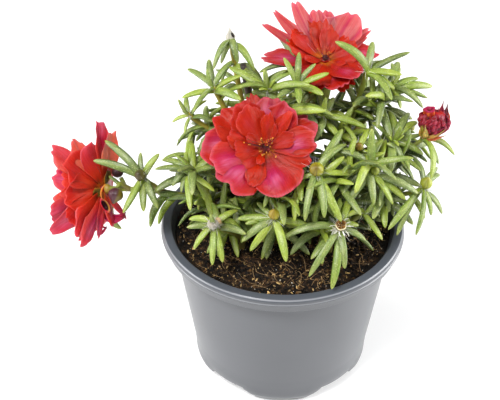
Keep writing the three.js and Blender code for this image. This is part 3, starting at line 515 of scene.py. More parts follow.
def hides_a_bloom(p):
    """Whether a point stands between the camera and a bloom, the capsule or a bud that shows from the front."""
    to_point = p - EYE
    for centre, radius in SHOWN:
        to_centre = centre - EYE
        far = np.linalg.norm(to_centre)
        along = to_point @ to_centre / far
        if along < far + 4 and np.linalg.norm(to_point * (far / along) - to_centre) < radius:
            return True
    return False


def leaf_shows(leaf):
    """Whether a leaf leaves the blooms and the openings in view."""
    return not any(hides_a_bloom(p) or in_an_opening(p) for p in quadratic(leaf["line"], (0.35, 0.7, 1)))


def twig(start, second, third, end, axis, length):
    """A side shoot that only the finished surface has, along a cubic line."""
    return dict(shoot(end, axis, 0, 0, grows_from=(0, 0)), line=np.array((start, second, third, end)),
                length=length, frame=clock_frame(axis), fine=True)


def side_shoots(name, shoots, rng):
    """Short side shoots: each leaves its parent sideways and turns upwards. The last few stand low over the peat."""
    made = []
    for s in shoots:
        if s["length"] < SIDE["parent"]:
            continue
        step = SIDE_SPACING.get(name, SIDE["spacing"]) / s["length"]
        for share in np.arange(SIDE["first"] + 0.1 * rng.uniform(), SIDE["last"], step):
            start, way = cubic(s["line"], share), heading(s["line"], share)
            out = clock_direction(clock_frame(way), rng.uniform(0, 360), rng.uniform(5, 40))
            reach = rng.uniform(9, 20)
            end = start + out * reach + UP * (0.35 * reach)
            outside = end[2] < SIDE["lowest"] or math.hypot(*end[:2]) > SIDE["reach"] or end[1] < SIDE["front"]
            if outside or hides_a_bloom(end) or in_an_opening(end):
                continue
            axis = unit(out * 0.6 + UP * 0.7 + rng.normal(size=3) * 0.15)
            made.append(twig(start, start + unit(out + way) * 0.35 * reach, end - axis * 0.35 * reach, end, axis,
                             reach * 1.05))
    for _ in range(LOW_SHOOTS.get(name, 0)):
        start = cubic(shoots[0]["line"], rng.uniform(0.02, 0.1))
        a = rng.uniform(0, 2 * math.pi)
        out = np.array((math.cos(a), math.sin(a), 0))
        reach = rng.uniform(6, 12)
        end = start + out * reach + UP * rng.uniform(7, 17)
        if end[1] < LOW_FRONT or math.hypot(*end[:2]) > LOW_REACH:
            continue
        axis = unit(out * 0.5 + UP)
        made.append(twig(start, start + out * 0.5 * reach, end - axis * 0.4 * reach, end, axis, reach * 1.5))
    return made


def grow_fine(crown):
    """Fills the crown: leaves along the named stems, side shoots with a tuft each, and short leaves at the tips."""
    rng = np.random.default_rng(11)
    for name, line, width in HANGING:
        line = np.array(line, float)
        crown.keep_leaf(dict(line=line, side=np.array((1.0, 0, 0)), width=width,
                             length=np.linalg.norm(line[2] - line[0]) + 2), name)
    sides = {}
    for name, _, shoots in PLANTS:
        sparse = name in SIDE_SPACING
        sides[name] = side_shoots(name, shoots, rng)
        for s in sides[name]:
            start = rng.uniform(0, 360)
            for i in range(TUFT_LEAVES):
                leaf, lift = (start + GOLDEN * i, rng.uniform(11, 20)), 52 - 5 * i + rng.uniform(-8, 8)
                crown.place(name, s, 1 - 0.05 * i, s["frame"], leaf, lift, 0.5, i, TUFT_EASE)
        for s in shoots:
            first, last = 0.3 if sparse else 0.1, 0.5 if name == "stem_top_left" else 0.96
            for share in np.arange(first, last, (SPARSE_STEP if sparse else ALONG_STEP) / max(20, s["length"])):
                axes = clock_frame(heading(s["line"], share))
                leaf = (rng.uniform(0, 360), rng.uniform(11, 19))
                crown.place(name, s, share, axes, leaf, rng.uniform(20, 50), 0.5, 0, ALONG_EASE)
            if (s["leaves"] or s["ring"][0]) and not sparse:
                start = rng.uniform(0, 360)
                for i in range(TIP_LEAVES):
                    leaf = (start + GOLDEN * i, rng.uniform(5, 8))
                    crown.place(name, s, 1, s["frame"], leaf, rng.uniform(45, 70), 0.1, i, TIP_EASE)
    return sides


# ---- Meshes ----
def grid(rings, around):
    """Faces of rings x around points that are joined all the way round, as rows of four."""
    i, k = np.meshgrid(np.arange(rings - 1), np.arange(around), indexing="ij")
    low, high, after = i * around, (i + 1) * around, (k + 1) % around
    return np.stack((low + k, low + after, high + after, high + k), -1).reshape(-1, 4)


def tube_faces(rings, around, count=1):
    """Faces of closed tubes of rings x around points, each followed by its first and its last pole."""
    k = np.arange(around)
    after, first, top = (k + 1) % around, rings * around, (rings - 1) * around
    low = np.stack((np.full(around, first), after, k), -1)
    high = np.stack((np.full(around, first + 1), top + k, top + after), -1)
    step = (np.arange(count) * (first + 2))[:, None, None]
    return [(grid(rings, around) + step).reshape(-1, 4), (np.concatenate((low, high)) + step).reshape(-1, 3)]


class Surfaces:
    """Collects closed surfaces for one piece: points, faces as rows of 3 or 4, point colours, and materials."""

    def __init__(self):
        self.points, self.tints, self.forms, self.rows, self.kinds = [], [], [], [], []
        self.count = 0

    def add(self, points, faces, tints, kind=0, forms=(0, 0, 0)):
        """points (n, 3), faces a list of arrays with 3 or 4 columns, tints and forms (n, 3) or one for all.

        A form says where a point lies on its leaf or petal, for grain that follows the surface.
        """
        self.points.append(points)
        self.tints.append(np.broadcast_to(tints, points.shape))
        self.forms.append(np.broadcast_to(forms, points.shape))
        for rows in faces:
            self.rows.append(rows + self.count)
            self.kinds.append(np.full(len(rows), kind))
        self.count += len(points)

    def close(self, body, ends, tints, kind=0):
        """Rings of points closed by a pole at either end; tints are one colour, one a ring, or one a point."""
        tints = np.asarray(tints)
        if tints.ndim < 3:
            tints = np.broadcast_to(tints, (len(body), 3))[:, None]
        tints = np.broadcast_to(tints, body.shape)
        self.add(np.concatenate((body.reshape(-1, 3), ends)), tube_faces(*body.shape[:2]),
                 np.concatenate((tints.reshape(-1, 3), tints[:1, 0], tints[-1:, 0])), kind)


def put(name, surfaces, materials, replaced=None):
    """Makes the piece, in metres, smooth shaded, with its point colours in the attribute tint."""
    mesh = bpy.data.meshes.new(name)
    points = np.concatenate(surfaces.points) * MM
    sizes = np.concatenate([np.full(len(rows), rows.shape[1]) for rows in surfaces.rows])
    corners = np.concatenate([rows.ravel() for rows in surfaces.rows])
    mesh.vertices.add(len(points))
    mesh.vertices.foreach_set("co", points.astype(np.float32).ravel())
    mesh.loops.add(len(corners))
    mesh.loops.foreach_set("vertex_index", corners.astype(np.int32))
    mesh.polygons.add(len(sizes))
    mesh.polygons.foreach_set("loop_start", (np.cumsum(sizes) - sizes).astype(np.int32))
    mesh.polygons.foreach_set("material_index", np.concatenate(surfaces.kinds).astype(np.int32))
    mesh.update(calc_edges=True)
    mesh.validate()
    mesh.polygons.foreach_set("use_smooth", np.ones(len(mesh.polygons), bool))
    rgba = np.ones((len(points), 4), np.float32)
    rgba[:, :3] = np.concatenate(surfaces.tints)
    mesh.attributes.new("tint", "FLOAT_COLOR", "POINT").data.foreach_set("color", rgba.ravel())
    forms = np.concatenate(surfaces.forms).astype(np.float32).ravel()
    mesh.attributes.new("form", "FLOAT_VECTOR", "POINT").data.foreach_set("vector", forms)
    for material in materials:
        mesh.materials.append(material)
    piece = bpy.data.objects.new(name, mesh)
    bpy.context.scene.collection.objects.link(piece)
    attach(piece, "root")
    if replaced:
        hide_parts(replaced)
    return piece


def tube(surfaces, line, radii, around, tints, kind=0):
    """A round closed tube along a path: each point moved out by its radius in the plane across the path, along two
    unit vectors that turn as little as possible from one point to the next."""
    forward = unit(np.gradient(line, axis=0))
    across = [unit(np.cross(forward[0], (0, 0, 1) if abs(forward[0][2]) < 0.9 else (1, 0, 0)))]
    for way in forward[1:]:
        across.append(unit(across[-1] - way * (across[-1] @ way)))
    across = np.array(across)
    a = circle(around)[None, :, None]
    ring = np.cos(a) * across[:, None] + np.sin(a) * np.cross(forward, across)[:, None]
    surfaces.close(line[:, None] + ring * np.asarray(radii)[:, None, None], line[[0, -1]], tints, kind)


def turned(surfaces, profile, at, along, around, tints, kind=0, relief=None):
    """A body turned about an axis: rings of the profile's radius at its height, closed by poles on the axis.
    relief(angle, row) may scale each radius."""
    radii, heights = np.asarray(profile, float).T
    axis = unit(along)
    scale = 1 if relief is None else relief(circle(around)[None], np.arange(len(radii))[:, None])
    body = at + (radii[:, None] * scale)[..., None] * wheel(axis, around)[None] + heights[:, None, None] * axis
    surfaces.close(body, at + axis * heights[[0, -1], None], tints, kind)


# ---- Materials ----
def fill(node, values):
    """Sets a node's inputs; one given as a socket is linked."""
    for key, value in values.items():
        if isinstance(value, bpy.types.NodeSocket):
            node.id_data.links.new(value, node.inputs[key])
        else:
            node.inputs[key].default_value = value


class Finish:
    """A procedural material for pieces that carry the attributes tint and form, and short ways to its nodes."""

    def __init__(self, name, **settings):
        self.material = bpy.data.materials.new(name)
        self.material.use_nodes = True
        self.tree = self.material.node_tree
        self.place = self.node("TexCoord").outputs["Object"]
        self.tint = self.node("Attribute", attribute_name="tint").outputs["Color"]
        self.shade(**settings)

    def shade(self, **values):
        """Sets inputs of the shader, named with _ for spaces."""
        fill(self.tree.nodes["Principled BSDF"], {key.replace("_", " "): value for key, value in values.items()})

    def node(self, kind, inputs=(), **settings):
        """A node with its inputs, after its settings."""
        made = self.tree.nodes.new("ShaderNode" + kind)
        for key, value in settings.items():
            setattr(made, key, value)
        fill(made, dict(inputs))
        return made

    def noise(self, scale, detail, roughness=0.5, at=None):
        """Grey noise over the object's space, or over another place."""
        settings = {"Vector": at or self.place, "Scale": scale, "Detail": detail, "Roughness": roughness}
        return self.node("TexNoise", settings).outputs["Fac"]

    def ramp(self, factor, *stops):
        """A ramp of grey or colour stops as (place, colour)."""
        made = self.node("ValToRGB", {0: factor})
        elements = made.color_ramp.elements
        while len(elements) < len(stops):
            elements.new(0.5)
        for element, (place, value) in zip(elements, stops):
            element.position = place
            element.color = (*(np.ones(3) * value), 1)
        return made.outputs["Color"]

    def times(self, a, b, share=1.0):
        """A colour multiplied by another."""
        return self.node("Mix", {0: share, 6: a, 7: b}, data_type="RGBA", blend_type="MULTIPLY").outputs[2]

    def over(self, base, factor, tint):
        """A plain colour laid over another by a factor."""
        return self.node("Mix", {0: factor, 6: base, 7: (*tint, 1)}, data_type="RGBA").outputs[2]

    def stretched(self, *shares):
        """The form with its first parts scaled: a place along and across a leaf or petal, apart for each."""
        parts = self.node("SeparateXYZ", {0: self.node("Attribute", attribute_name="form").outputs["Vector"]}).outputs
        scaled = [part if share == 1 else self.node("Math", {0: part, 1: share}, operation="MULTIPLY").outputs[0]
                  for part, share in zip(parts, (*shares, 1))]
        return self.node("CombineXYZ", dict(enumerate(scaled))).outputs[0]

    def bump(self, height, strength, distance, **more):
        """A normal bent by a height; more may give the normal that it starts from."""
        return self.node("Bump", {"Height": height, "Strength": strength, "Distance": distance, **more}).outputs[0]


def speckled(name, roughness, mottle, speck, speck_size, speck_share, bump):
    """A finish for living tissue: the tint, mottled by soft noise, with fine pale specks and a fine grain."""
    look = Finish(name, Roughness=roughness)
    base = look.times(look.tint, look.ramp(look.noise(260, 3), (0.3, 1 - mottle), (0.7, 1)))
    fine = look.noise(speck_size, 2)
    specks = look.ramp(fine, (1 - speck_share, 0), (1.02 - speck_share * 0.9, 1))
    look.shade(Base_Color=look.over(base, specks, speck), Normal=look.bump(fine, bump, 0.0003))
    return look.material


def leaf_finish():
    """Fleshy leaves: the tint, with pale and dark streaks along each leaf, a fine pale speckle, and a waxy gloss."""
    look = Finish("fleshy_leaf", Specular_IOR_Level=0.62, Subsurface_Weight=0.2, Subsurface_Radius=(0.5, 1.0, 0.2),
                  Subsurface_Scale=0.001)
    streaks = look.noise(2.4, 3, 0.6, look.stretched(0.16, 2.2))
    base = look.times(look.tint, look.ramp(streaks, (0.32, 0.56), (0.52, 0.91), (0.72, 1.18)))
    base = look.times(base, look.ramp(look.noise(140, 2), (0.35, (0.86, 0.9, 0.8)), (0.65, (1.08, 1.04, 1.0))))
    fine = look.noise(1500, 2, 0.7)
    look.shade(Base_Color=look.over(base, look.ramp(fine, (0.56, 0), (0.72, 0.62)), colour(200, 210, 146)),
               Roughness=look.ramp(fine, (0.3, 0.3), (0.7, 0.5)), Normal=look.bump(fine, 0.35, 0.0004))
    return look.material


def petal_finish():
    """Silky petals: the tint, with fine darker veins that fan out along each petal, and a soft sheen."""
    look = Finish("silky_petal", Roughness=0.36, Specular_IOR_Level=0.19, Subsurface_Weight=0.45,
                  Subsurface_Radius=(1.0, 0.3, 0.2), Subsurface_Scale=0.002)
    veins = look.noise(2.6, 4, 0.6, look.stretched(1, 9.0))
    shade = look.ramp(veins, (0.28, (0.8, 0.6, 0.66)), (0.52, 1), (0.75, (1.12, 1.5, 1.4)))
    crinkle = look.bump(look.noise(330, 3, 0.6), 0.35, 0.0012)
    look.shade(Base_Color=look.times(look.tint, shade, 0.75), Normal=look.bump(veins, 0.4, 0.0005, Normal=crinkle))
    return look.material


def pot_finish():
    """Satin grey moulded plastic with a faint flow grain."""
    look = Finish("grey_pot_plastic", Roughness=0.29)
    look.shade(Base_Color=look.times(look.tint, look.ramp(look.noise(30, 1), (0, 0.86), (1, 1.08))))
    return look.material


def peat_finish():
    """Damp peat: dark brown clods with lighter fibres in them, rough, with a deep fine grain."""
    look = Finish("damp_peat", Specular_IOR_Level=0.2)
    clods = look.noise(420, 6, 0.7)
    shade = look.ramp(clods, (0.38, (0.05, 0.045, 0.04)), (0.5, (0.5, 0.48, 0.46)), (0.6, (1.9, 1.7, 1.35)),
                      (0.68, (6.5, 5.6, 4.2)))
    shade = look.times(shade, look.ramp(look.noise(170, 2), (0.4, 0.3), (0.6, 1.5)))
    look.shade(Base_Color=look.times(look.tint, shade), Roughness=look.ramp(clods, (0.3, 0.4), (0.6, 0.8)),
               Normal=look.bump(clods, 0.9, 0.0012))
    return look.material


LEAF_SKIN = leaf_finish()
STEM_SKIN = speckled("fleshy_stem", 0.45, 0.35, colour(190, 180, 130), 1100, 0.26, 0.3)
BUD_SKIN = speckled("waxy_bud", 0.4, 0.25, colour(205, 196, 130), 1200, 0.14, 0.15)
HUSK_SKIN = speckled("dry_husk", 0.8, 0.4, colour(230, 220, 195), 900, 0.3, 0.5)
PETAL_SKIN = petal_finish()
STAMEN_SKIN = speckled("powdery_anther", 0.7, 0.3, colour(250, 210, 90), 2500, 0.3, 0.4)
POT_SKIN = pot_finish()
PEAT_SKIN = peat_finish()


# ---- Pot and peat ----
# Points round the pot, and how many of its profile's first rows the feet and the heel take.
POT_STEPS, HEEL_ROWS = 288, 20
# The wall's grey, then painted shade for the rim's top and the feet, and a painted highlight for the lip's edges.
POT_GREY, RIM_PAINTED_SHADE, FOOT_PAINTED_SHADE = colour(93, 95, 99), colour(74, 78, 85), colour(84, 86, 90)
LIP_PAINTED_HIGHLIGHT = colour(168, 170, 174)


def body_r(z):
    """The pot's outer radius at a height on its body."""
    return POT["low_r"] + (POT["top_r"] - POT["low_r"]) * (z - POT["low_z"]) / (POT["top_z"] - POT["low_z"])


def inner_r(z):
    """The pot's inner radius at a height."""
    return body_r(z) - POT["wall"]


def bowed(centre, radius, start, end, steps):
    """Points on an arc round centre, from a start to an end angle in degrees."""
    a = np.radians(np.linspace(start, end, steps))
    return [(centre[0] + radius * c, centre[1] + radius * s) for c, s in zip(np.cos(a), np.sin(a))]


def pot_profile():
    """The pot's closed outline as (radius, height), from the middle of its underside to that of its floor."""
    height, rim, skirt, skirt_z = POT["height"], POT["rim_r"], POT["skirt_r"], POT["skirt_z"]
    foot, pad, floor_z = POT["foot_r"], POT["pad_r"], POT["floor_z"]
    feet, floor_top = foot - POT["foot_width"], floor_z + POT["floor_thick"]
    profile = [(0.01, 0), (pad - 0.3, 0), (pad, 0.2), (pad + 1, floor_z), (20, floor_z), (feet - 0.8, floor_z),
               (feet - 0.1, 0.3), (feet + 0.3, 0), (foot - 0.5, 0), (foot + 0.1, 0.3), (foot + 0.3, 0.6),
               (foot + 1.6, 2.6), (foot + 2.7, 4.2), (43.5, 5.8), (44.1, 8), (44.5, 10.5), (44.85, 13),
               (POT["low_r"], POT["low_z"])]
    profile += [(body_r(z), z) for z in np.linspace(POT["low_z"] + 2, height - 2.6, 22)]
    profile += [(skirt - 1.4, height - 2.6), (skirt - 1.3, height - 3), (skirt - 1.3, skirt_z + 0.2),
                (skirt - 1.1, skirt_z)]
    profile += bowed((skirt - 0.35, skirt_z + 0.4), 0.4, -80, -5, 4)
    # The lip: how far it lies inside the rim's radius, and its height.
    profile += [(rim - inside, z) for inside, z in (
        (1.35, 81.2), (1.2, 81.4), (0.7, 81.5), (0.12, 81.62), (0.02, 81.75), (0, 81.95), (0.04, 82.08),
        (0.12, 82.18), (0.42, 82.48), (0.5, 82.6), (0.52, 82.9), (0.5, 83.8), (0.52, 84.1), (0.58, 84.24),
        (0.66, 84.34), (1.06, 84.74), (1.18, 84.86), (1.4, 84.94))]
    profile += [(57.3, height - 0.02), (56, height - 0.04)]
    profile += bowed((POT["mouth_r"] + 0.7, height - 0.75), 0.7, 90, 175, 6)
    profile += [(inner_r(z) + 0.02, z) for z in np.linspace(height - 3, POT["low_z"], 14)]
    return np.array(profile + [(foot + 1.2, 9), (foot - 0.6, floor_top + 0.8), (foot - 2, floor_top),
                               (20, floor_top), (0.01, floor_top)])


def make_pot():
    """The pot is its profile turned round: foot ring, curved heel, straight wall, skirt, rounded lip and inside.

    The foot ring's underside is lifted in four gaps with sloping ends between its feet, the wall's lower edge higher
    still, and each foot flares a little and has a small notch.
    """
    profile, a = pot_profile(), circle(POT_STEPS)
    radii, high = profile.T
    from_foot = (a + math.pi / 4) % (math.pi / 2) - math.pi / 4
    in_notch = np.abs(from_foot) * POT["foot_r"] < POT["notch_width"] / 2
    from_front = np.degrees(np.arctan2(np.abs(np.cos(a)), np.abs(np.sin(a))))
    gap = np.clip((GAP_HALF - np.abs(from_front - GAP_AT)) / GAP_SLOPE, 0, 1)
    lifted = np.maximum(gap * POT["foot_gap_height"], in_notch * POT["notch_height"])
    foot = POT["foot_r"]
    underside = (radii > foot - POT["foot_width"] - 0.5) & (high < 3.5) & (radii < foot + 2)
    edge = (np.arange(len(profile)) < HEEL_ROWS) & (radii > foot)
    z = np.where(underside[:, None], np.maximum(high[:, None], lifted), high[:, None])
    z = np.where(edge[:, None], np.maximum(z, gap * POT["edge_gap_height"]), z)
    r = radii[:, None] + (edge * FOOT_FLARE * smooth(11, 5, high))[:, None] * (1 - gap)
    # Painted shade: the rim's flat top and the mouth's edge are painted a darker grey than the wall.
    rim_shade_share = smooth(POT["mouth_r"] - 1, POT["mouth_r"] + 1, radii) * (high > POT["height"] - 1.5)
    # Painted highlights: thin lighter lines along the lip's upper and lower edges.
    upper, lower = (high > 84.3) & (high < 84.8), (high > 82.1) & (high < 82.5)
    lip_highlight_share = (radii > POT["rim_r"] - 1.2) * (0.45 * upper + 0.3 * lower)
    # Painted shade: the feet are painted darker towards the bottom, below 4.2 mm.
    rows = layered(POT_GREY, (RIM_PAINTED_SHADE, rim_shade_share), (FOOT_PAINTED_SHADE, smooth(4.2, 2.8, high)), (LIP_PAINTED_HIGHLIGHT, lip_highlight_share))
    pot, drill = Surfaces(), Surfaces()
    pot.close(np.stack((r * np.cos(a), r * np.sin(a), z), -1), ((0, 0, high[0]), (0, 0, high[-1])), rows)
    piece = put("nursery_pot", pot, [POT_SKIN], "pot")

    for way in np.radians((45, 135, 225, 315)):
        at = np.array((POT["drain_at"] * math.cos(way), POT["drain_at"] * math.sin(way), POT["floor_z"] - 2))
        turned(drill, [(POT["drain_r"], 0), (POT["drain_r"], 8)], at, UP, 32, POT_GREY)
    cutter = put("drill", drill, [POT_SKIN])
    cut = piece.modifiers.new("drains", "BOOLEAN")
    cut.operation, cut.object, cut.solver = "DIFFERENCE", cutter, "EXACT"
    bpy.context.view_layer.update()
    shape = bpy.data.meshes.new_from_object(piece.evaluated_get(bpy.context.evaluated_depsgraph_get()))
    piece.modifiers.clear()
    piece.data = shape
    bpy.data.objects.remove(cutter)


def soil_height(x, y):
    """The peat's height over its mean level: the broad lumps of the solid, with finer ones as sums of sines."""
    broad = np.sin(0.13 * x + 0.4) * np.sin(0.11 * y + 1.1)
    crumb = np.sin(0.47 * x + 2 + 0.2 * y) * np.sin(0.53 * y + 0.7)
    fine = (np.sin(1.3 * x + 0.9 * y) * np.sin(1.1 * y - 0.7 * x + 1)
            + 0.7 * np.sin(2.3 * x - 1.9 * y) * np.sin(2.7 * y + 1.3 * x))
    return SOIL_RELIEF * (0.6 * broad + 0.5 * crumb + 0.22 * fine)


def make_soil():
    """The peat: a lumpy disc, closed by a wall just inside the pot's and a flat bottom."""
    steps, waist, low, inset = 70, 50, POT["low_z"], CLEARANCE + 0.25
    bottom, edge = POT["floor_z"] + POT["floor_thick"] + CLEARANCE, inner_r(SOIL_Z) - CLEARANCE - 0.25
    wall = (inner_r(waist) - inset, inner_r(low) - inset, POT["foot_r"] - 2.6)
    r = np.concatenate((np.linspace(0.4, edge, steps), wall))[:, None]
    a = circle(192)
    x, y = r * np.cos(a), r * np.sin(a)
    level = np.concatenate((np.full(steps, SOIL_Z), (waist, low, bottom)))[:, None] + 0 * x
    level[:steps] += soil_height(x, y)[:steps] * (1 - (r[:steps] / edge) ** 6)
    soil = Surfaces()
    soil.close(np.stack((x, y, level), -1)[::-1], ((0, 0, bottom), (0, 0, SOIL_Z + soil_height(0, 0))),
               colour(38, 28, 19))
    put("peat", soil, [PEAT_SKIN], "soil")


def scattered(rng, count):
    """Even random places on the peat, up to its edge."""
    r = (inner_r(SOIL_Z) - 2.2) * np.sqrt(rng.uniform(0, 1, count))
    a = rng.uniform(0, 2 * math.pi, count)
    x, y = r * np.cos(a), r * np.sin(a)
    return np.stack((x, y, SOIL_Z + soil_height(x, y)), -1)


def lumps(surfaces, rng, places, sizes, stretch, tints):
    """Small rough lumps: a ball of 3 rings of 6 points, stretched along three turned axes and knocked out of round."""
    count, around = len(places), 6
    height = np.array((-0.62, 0.0, 0.62))[:, None]
    width, a = np.sqrt(1 - height ** 2), circle(around)
    ball = np.stack((width * np.cos(a), width * np.sin(a), height + 0 * a), -1)
    ball = np.concatenate((ball.reshape(-1, 3), ((0, 0, -0.95), (0, 0, 0.95))))
    knocked = ball[None] * rng.uniform(0.72, 1.2, (count, len(ball), 1)) * stretch * sizes[:, None, None]
    e1 = unit(rng.normal(size=(count, 3)))
    e2 = unit(np.cross(e1, rng.normal(size=(count, 3))))
    points = (places[:, None] + knocked[..., :1] * e1[:, None] + knocked[..., 1:2] * e2[:, None]
              + knocked[..., 2:] * np.cross(e1, e2)[:, None])
    surfaces.add(points.reshape(-1, 3), tube_faces(3, around, count), np.repeat(tints, len(ball), 0))


# What lies on the peat, as (name, material, count, rise, dull and bright colour, share of dull ones as a power,
# smallest and largest size, share of small ones as a power, stretch).
SOIL_BITS = [("peat_crumbs", PEAT_SKIN, 3400, 0, colour(22, 15, 11), colour(84, 62, 36), 2.5, 0.3, 1.1, 1, 1),
             ("bark_chips", HUSK_SKIN, 1500, 0.5, colour(70, 48, 24), colour(224, 186, 118), 1.6, 0.16, 0.78, 2,
              (1.7, 0.7, 0.4)),
             ("perlite", HUSK_SKIN, 260, 0.5, colour(150, 132, 100), colour(236, 232, 220), 1, 0.1, 0.32, 1, 1)]
FIBRES = 330


def make_soil_bits():
    """Crumbs, bark chips, perlite and fibres that lie on the peat."""
    rng = np.random.default_rng(5)
    for name, skin, count, rise, dull, bright, mostly_dull, small, large, mostly_small, stretch in SOIL_BITS:
        bits = Surfaces()
        places = scattered(rng, count) + UP * rise
        tints = mixed(dull, bright, rng.uniform(0, 1, count) ** mostly_dull)
        sizes = small + (large - small) * rng.uniform(0, 1, count) ** mostly_small
        lumps(bits, rng, places, sizes, np.array(stretch), tints)
        put(name, bits, [skin])

    fibres, t = Surfaces(), np.linspace(0, 1, 7)
    for place in scattered(rng, FIBRES):
        way = unit(np.append(rng.normal(size=2), rng.normal() * 0.25))
        length, bow = rng.uniform(4, 14), rng.normal(size=3) * 1.2
        line = place + UP * 0.7 + way * ((t - 0.5) * length)[:, None] + bow * (4 * t * (1 - t))[:, None]
        line[:, 2] = np.maximum(line[:, 2], SOIL_Z + soil_height(line[:, 0], line[:, 1]) + 0.1)
        tint = mixed(colour(110, 74, 44), colour(202, 164, 112), rng.uniform())
        if np.all(np.hypot(line[:, 0], line[:, 1]) < inner_r(SOIL_Z) - 0.8):
            tube(fibres, line, 0.11 * (1 - 0.6 * t), 4, tint)
    put("peat_fibres", fibres, [HUSK_SKIN])


# ---- Leafy stems ----
LEAF_T = np.array((0, 0.08, 0.2, 0.34, 0.48, 0.62, 0.75, 0.85, 0.92, 0.965, 0.99))
LEAF_AROUND = 8
LIME, GREEN = colour(144, 164, 42), colour(110, 134, 36)
GREY_GREEN, DARK_GREEN = colour(106, 126, 60), colour(54, 76, 24)
PAINTED_SHEEN, LEAF_TIP, YOUNG = colour(186, 198, 112), colour(168, 176, 70), colour(154, 174, 52)
STEM_GREEN, STEM_RED = colour(132, 136, 52), colour(112, 94, 46)
STEM_YELLOW, STEM_DEAD = colour(176, 158, 58), colour(62, 48, 42)
WOOLLY_HAIRS, MANY_HAIRS, FEW_HAIRS = 220, 44, 20
DEAD_STEM = np.array(((-13, 18, 76), (-12, 19, 105), (-14, 22, 135), (-19.5, 25, 159.0)))
# How far off, and how far from the line of sight, a leaf is that counts in another's depth, which sets its painted
# shade.
CROWD_FAR, CROWD_ASIDE = 24, 9


def crown_depth_shade(grown):
    """How deep each leaf stands in the crown, from 0 to 1, which sets its painted shade: the share of leaves close by
    that are above or before it.
    """
    leaves = [leaf for name in grown for leaf in grown[name]]
    middles = np.array([quadratic(leaf["line"], 0.6) for leaf in leaves])
    apart = middles[None] - middles[:, None]
    towards = unit((-0.1, -0.5, 1.0))
    ahead = (apart @ towards > 2) & (np.linalg.norm(apart, axis=-1) < CROWD_FAR)
    aside = np.linalg.norm(apart - (apart @ towards)[..., None] * towards, axis=-1) < CROWD_ASIDE
    for leaf, depth in zip(leaves, smooth(3, 13, (ahead & aside).sum(axis=1))):
        leaf["inner"] = depth


def add_leaves(surfaces, leaves, rng):
    """Plump leaves. A leaf's half width follows a sine that is widest past its middle, and its tip closes with a
    quarter circle; its section is half round below and flatter above, with a shallow groove. Its midrib is the
    solid's, arched upwards by a share of its length, bowed to one side, and curled at the tip.
    """
    count = len(leaves)
    inner, lines, side, length, width = (np.array([leaf[key] for leaf in leaves])
                                         for key in ("inner", "line", "side", "length", "width"))
    side = unit(side)
    width = width * rng.uniform(0.80, 1.06, count)
    width *= 0.66 + 0.34 * np.minimum(1, length / 15)
    t = LEAF_T[None, :, None]
    rib = (1 - t) ** 2 * lines[:, None, 0] + 2 * (1 - t) * t * lines[:, None, 1] + t * t * lines[:, None, 2]
    lifted = unit(np.cross(unit(lines[:, 1] - lines[:, 0]), side))
    bow = (rng.normal(0, 0.04, count) * length)[:, None]
    arch = (rng.uniform(0.02, 0.13, count) * np.minimum(length, 17) * smooth(6, 14, length))[:, None]
    curl = (rng.uniform(-0.18, 0.0, count) * np.minimum(length, 18))[:, None]
    rib = rib + (side * bow + lifted * arch)[:, None] * np.sin(math.pi * t) + (lifted * curl)[:, None] * t ** 3
    along = unit(np.gradient(rib, axis=1))
    normal = unit(np.cross(along, side[:, None]))
    across = np.cross(normal, along)
    roll = rng.normal(0, 0.25, count)[:, None, None]
    normal, across = normal * np.cos(roll) + across * np.sin(roll), across * np.cos(roll) - normal * np.sin(roll)
    spread = np.sin(math.pi * (0.12 + 0.78 * LEAF_T)) ** 0.65 * np.sqrt(1 - np.clip((LEAF_T - 0.87) / 0.13, 0, 1) ** 2)
    w = (width[:, None] * spread)[..., None]
    a = circle(LEAF_AROUND)
    x = np.cos(a)
    y = np.where(np.sin(a) > 0, 0.52 * np.sin(a) - 0.27 * hump(x, 0, 0.4), 0.74 * np.sin(a))
    body = rib[:, :, None] + across[:, :, None] * (w * x)[..., None] + normal[:, :, None] * (w * y)[..., None]
    points = np.concatenate((body.reshape(count, -1, 3), lines[:, :1], (lines[:, 2] + lifted * curl)[:, None]), 1)

    tone, kind = rng.uniform(0, 1, count), rng.uniform(0, 1, count)
    # Leaves deep in the crown are painted darker by their depth: painted shade.
    base = layered(GREEN, (GREY_GREEN, smooth(0.55, 0.7, kind)), (LIME, smooth(0.45, 0.2, kind)),
                   (DARK_GREEN, 0.6 * smooth(0.62, 1, tone)), (YOUNG, smooth(11, 5, length)),
                   (0.8 * DARK_GREEN, 0.85 * smooth(0.15, 1, inner)))
    share = t * np.ones((count, 1, LEAF_AROUND))
    # Painted sheen: a paler band along the middle of each leaf's upper side. Painted shade: the underside is painted
    # darker.
    tints = layered(base[:, None, None], (PAINTED_SHEEN, 0.3 * ((np.sin(a) > 0.1) * hump(x, 0, 0.6)) + 0 * share),
                    (LEAF_TIP, 0.4 * smooth(0.85, 1, share)), (YOUNG, 0.6 * smooth(0.25, 0, share)),
                    (DARK_GREEN, 0.3 * (np.sin(a) < -0.2) + 0 * share))
    tints = np.concatenate((tints.reshape(count, -1, 3), base[:, None], np.broadcast_to(LEAF_TIP, (count, 1, 3))), 1)
    form = np.zeros(points.shape)
    form[:, :-2, 0] = (share * length[:, None, None]).reshape(count, -1)
    form[:, :-2, 1] = (0 * share + x).reshape(count, -1)
    form[:, -1, 0], form[..., 2] = length, 20 * tone[:, None]
    surfaces.add(points.reshape(-1, 3), tube_faces(len(LEAF_T), LEAF_AROUND, count), tints.reshape(-1, 3), 0,
                 form.reshape(-1, 3))


